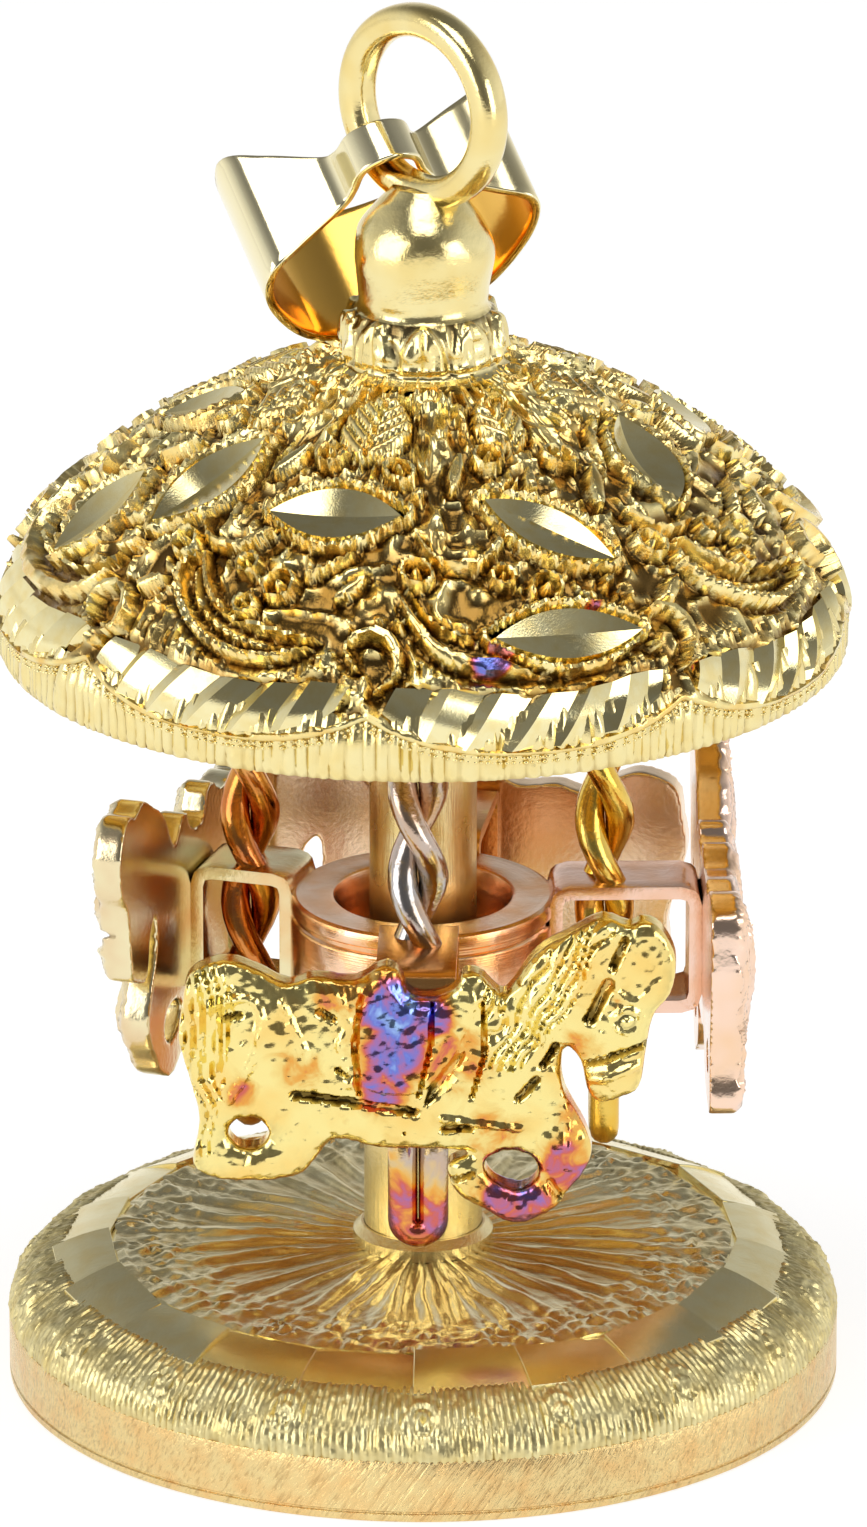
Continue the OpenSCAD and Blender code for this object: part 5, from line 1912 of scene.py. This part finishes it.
@dataclass
class Studio:
    """The pale floor, soft lights and camera."""

    aim: tuple[float, float, float] = (0.16, 0.0, 9.855)
    distance: float = 200.0
    elevation: float = 19.6
    lens: float = 309.3
    lit_height: float = 10.0      # the height that the lights face
    floor_side: float = 2.4       # in metres
    clip: tuple[float, float] = (0.01, 5.0)     # the camera's near and far limits in metres
    paper: tuple[float, float, float, float] = (0.92, 0.92, 0.91, 1)
    floor_glow: float = 1.45      # how bright the floor shows to the camera and in reflections
    glow_share: float = 0.50
    ambient: float = 0.16         # level of the world in front
    side_level: float = 0.75      # what it gains to the sides
    back_level: float = 0.8       # what it gains low behind
    # The soft lights: name, place, side and level.
    lamps: tuple[tuple[str, tuple[float, float, float], float, float], ...] = (
        ("key_left", (-150, -105, 70), 120, 2.7),
        ("fill_right", (160, -110, 60), 105, 2.7),
        ("top", (0, -45, 190), 120, 3.0))

    def build(self) -> None:
        """Sets the floor, the world, the lights and the camera."""
        self.floor()
        self.world()
        for lamp in self.lamps:
            self.softbox(*lamp)
        self.camera()
        scene = bpy.context.scene
        scene.view_settings.view_transform = "Standard"

    def floor(self) -> None:
        """A wide pale floor."""
        Bench.clear()
        bpy.ops.mesh.primitive_plane_add(size=self.floor_side, location=(0, 0, 0))
        floor = bpy.context.object
        floor.name = "floor"
        made = bpy.data.materials.new("floor paper")
        kit = NodeKit.blank(made)
        paper = kit.add("ShaderNodeBsdfDiffuse", {"Color": self.paper})
        glow = kit.add("ShaderNodeEmission", {"Color": (1, 1, 1, 1), "Strength": self.floor_glow})
        seen = kit.add("ShaderNodeLightPath")
        direct = kit.math("ADD", seen.outputs["Is Camera Ray"], seen.outputs["Is Glossy Ray"], clamp=True)
        share = kit.math("MULTIPLY", direct, self.glow_share)
        mix = kit.add("ShaderNodeMixShader", {0: share, 1: paper.outputs[0], 2: glow.outputs[0]})
        kit.add("ShaderNodeOutputMaterial", {0: mix.outputs[0]})
        floor.data.materials.append(made)

    def world(self) -> None:
        """White behind the object and a softer grey round it."""
        world = bpy.data.worlds.new("studio")
        bpy.context.scene.world = world
        kit = NodeKit.blank(world)
        way = kit.add("ShaderNodeTexCoord").outputs["Generated"]
        split = kit.add("ShaderNodeSeparateXYZ", {0: way})
        sides = kit.math("POWER", kit.math("ABSOLUTE", split.outputs[0]), 3.0)
        behind = kit.math("MAXIMUM", split.outputs[1], 0.0)
        low = kit.math("SUBTRACT", 1.0, kit.math("MULTIPLY", split.outputs[2], 1.5), clamp=True)
        level = kit.math("ADD", self.ambient, kit.math("MULTIPLY", sides, self.side_level))
        backdrop = kit.math("MULTIPLY", kit.math("MULTIPLY", behind, low), self.back_level)
        level = kit.math("ADD", level, backdrop)
        soft = kit.add("ShaderNodeCombineColor", {0: level, 1: level, 2: level})
        seen = kit.add("ShaderNodeLightPath").outputs["Is Camera Ray"]
        colour = kit.mix(seen, soft.outputs[0], (1, 1, 1, 1))
        back = kit.add("ShaderNodeBackground", {"Color": colour, "Strength": 1.0})
        kit.add("ShaderNodeOutputWorld", {0: back.outputs[0]})

    def softbox(self, name: str, place: tuple[float, float, float], size: float, level: float) -> None:
        """Hangs a square soft light that faces the object.

        Args:
            name: The light's name.
            place: Where it hangs in millimetres.
            size: The length of its side in millimetres.
            level: How bright its face is, where 1 is white.
        """
        light = bpy.data.lights.new(name, "AREA")
        light.shape = "SQUARE"
        light.size = size * MM
        light.energy = level * math.pi * (size * MM) ** 2
        self._face(Bench.new(name, light), Vector(place), Vector((0, 0, self.lit_height)))

    @staticmethod
    def _face(obj: Object, spot: Vector, aim: Vector) -> None:
        """Hangs a light or a camera at a spot in millimetres, turned to face its aim."""
        obj.location = spot * MM
        obj.rotation_euler = (aim - spot).to_track_quat("-Z", "Y").to_euler()

    def camera(self) -> None:
        """Places the camera a little above the stage, straight in front."""
        data = bpy.data.cameras.new("camera")
        camera = Bench.new("camera", data)
        lift = math.radians(self.elevation)
        aim = Vector(self.aim)
        spot = aim + Vector((0, -math.cos(lift), math.sin(lift))) * self.distance
        self._face(camera, spot, aim)
        data.lens = self.lens
        data.clip_start, data.clip_end = self.clip
        bpy.context.scene.camera = camera


def dress_kept_nodes(nodes: dict[str, Object]) -> None:
    """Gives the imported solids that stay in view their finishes.

    Args:
        nodes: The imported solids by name.
    """
    kept = {"post_foot": Gold.post, "center_post": Gold.post, "post_sleeve": Gold.post,
            "thrust_collar": Gold.fired, "canopy_bush": Gold.polished}
    for name, finish in kept.items():
        nodes[name].data.materials.clear()
        nodes[name].data.materials.append(finish.material())


def main() -> None:
    """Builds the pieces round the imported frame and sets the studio."""
    logging.basicConfig(level=logging.INFO, format="%(name)s: %(message)s")
    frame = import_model()
    dress_kept_nodes(frame["nodes"])
    Base().build()
    Canopy().build()
    Finial().build()
    Loop().build()
    Bail().build()
    Rotor().build()
    Studio().build()


if __name__ == "__main__":
    main()
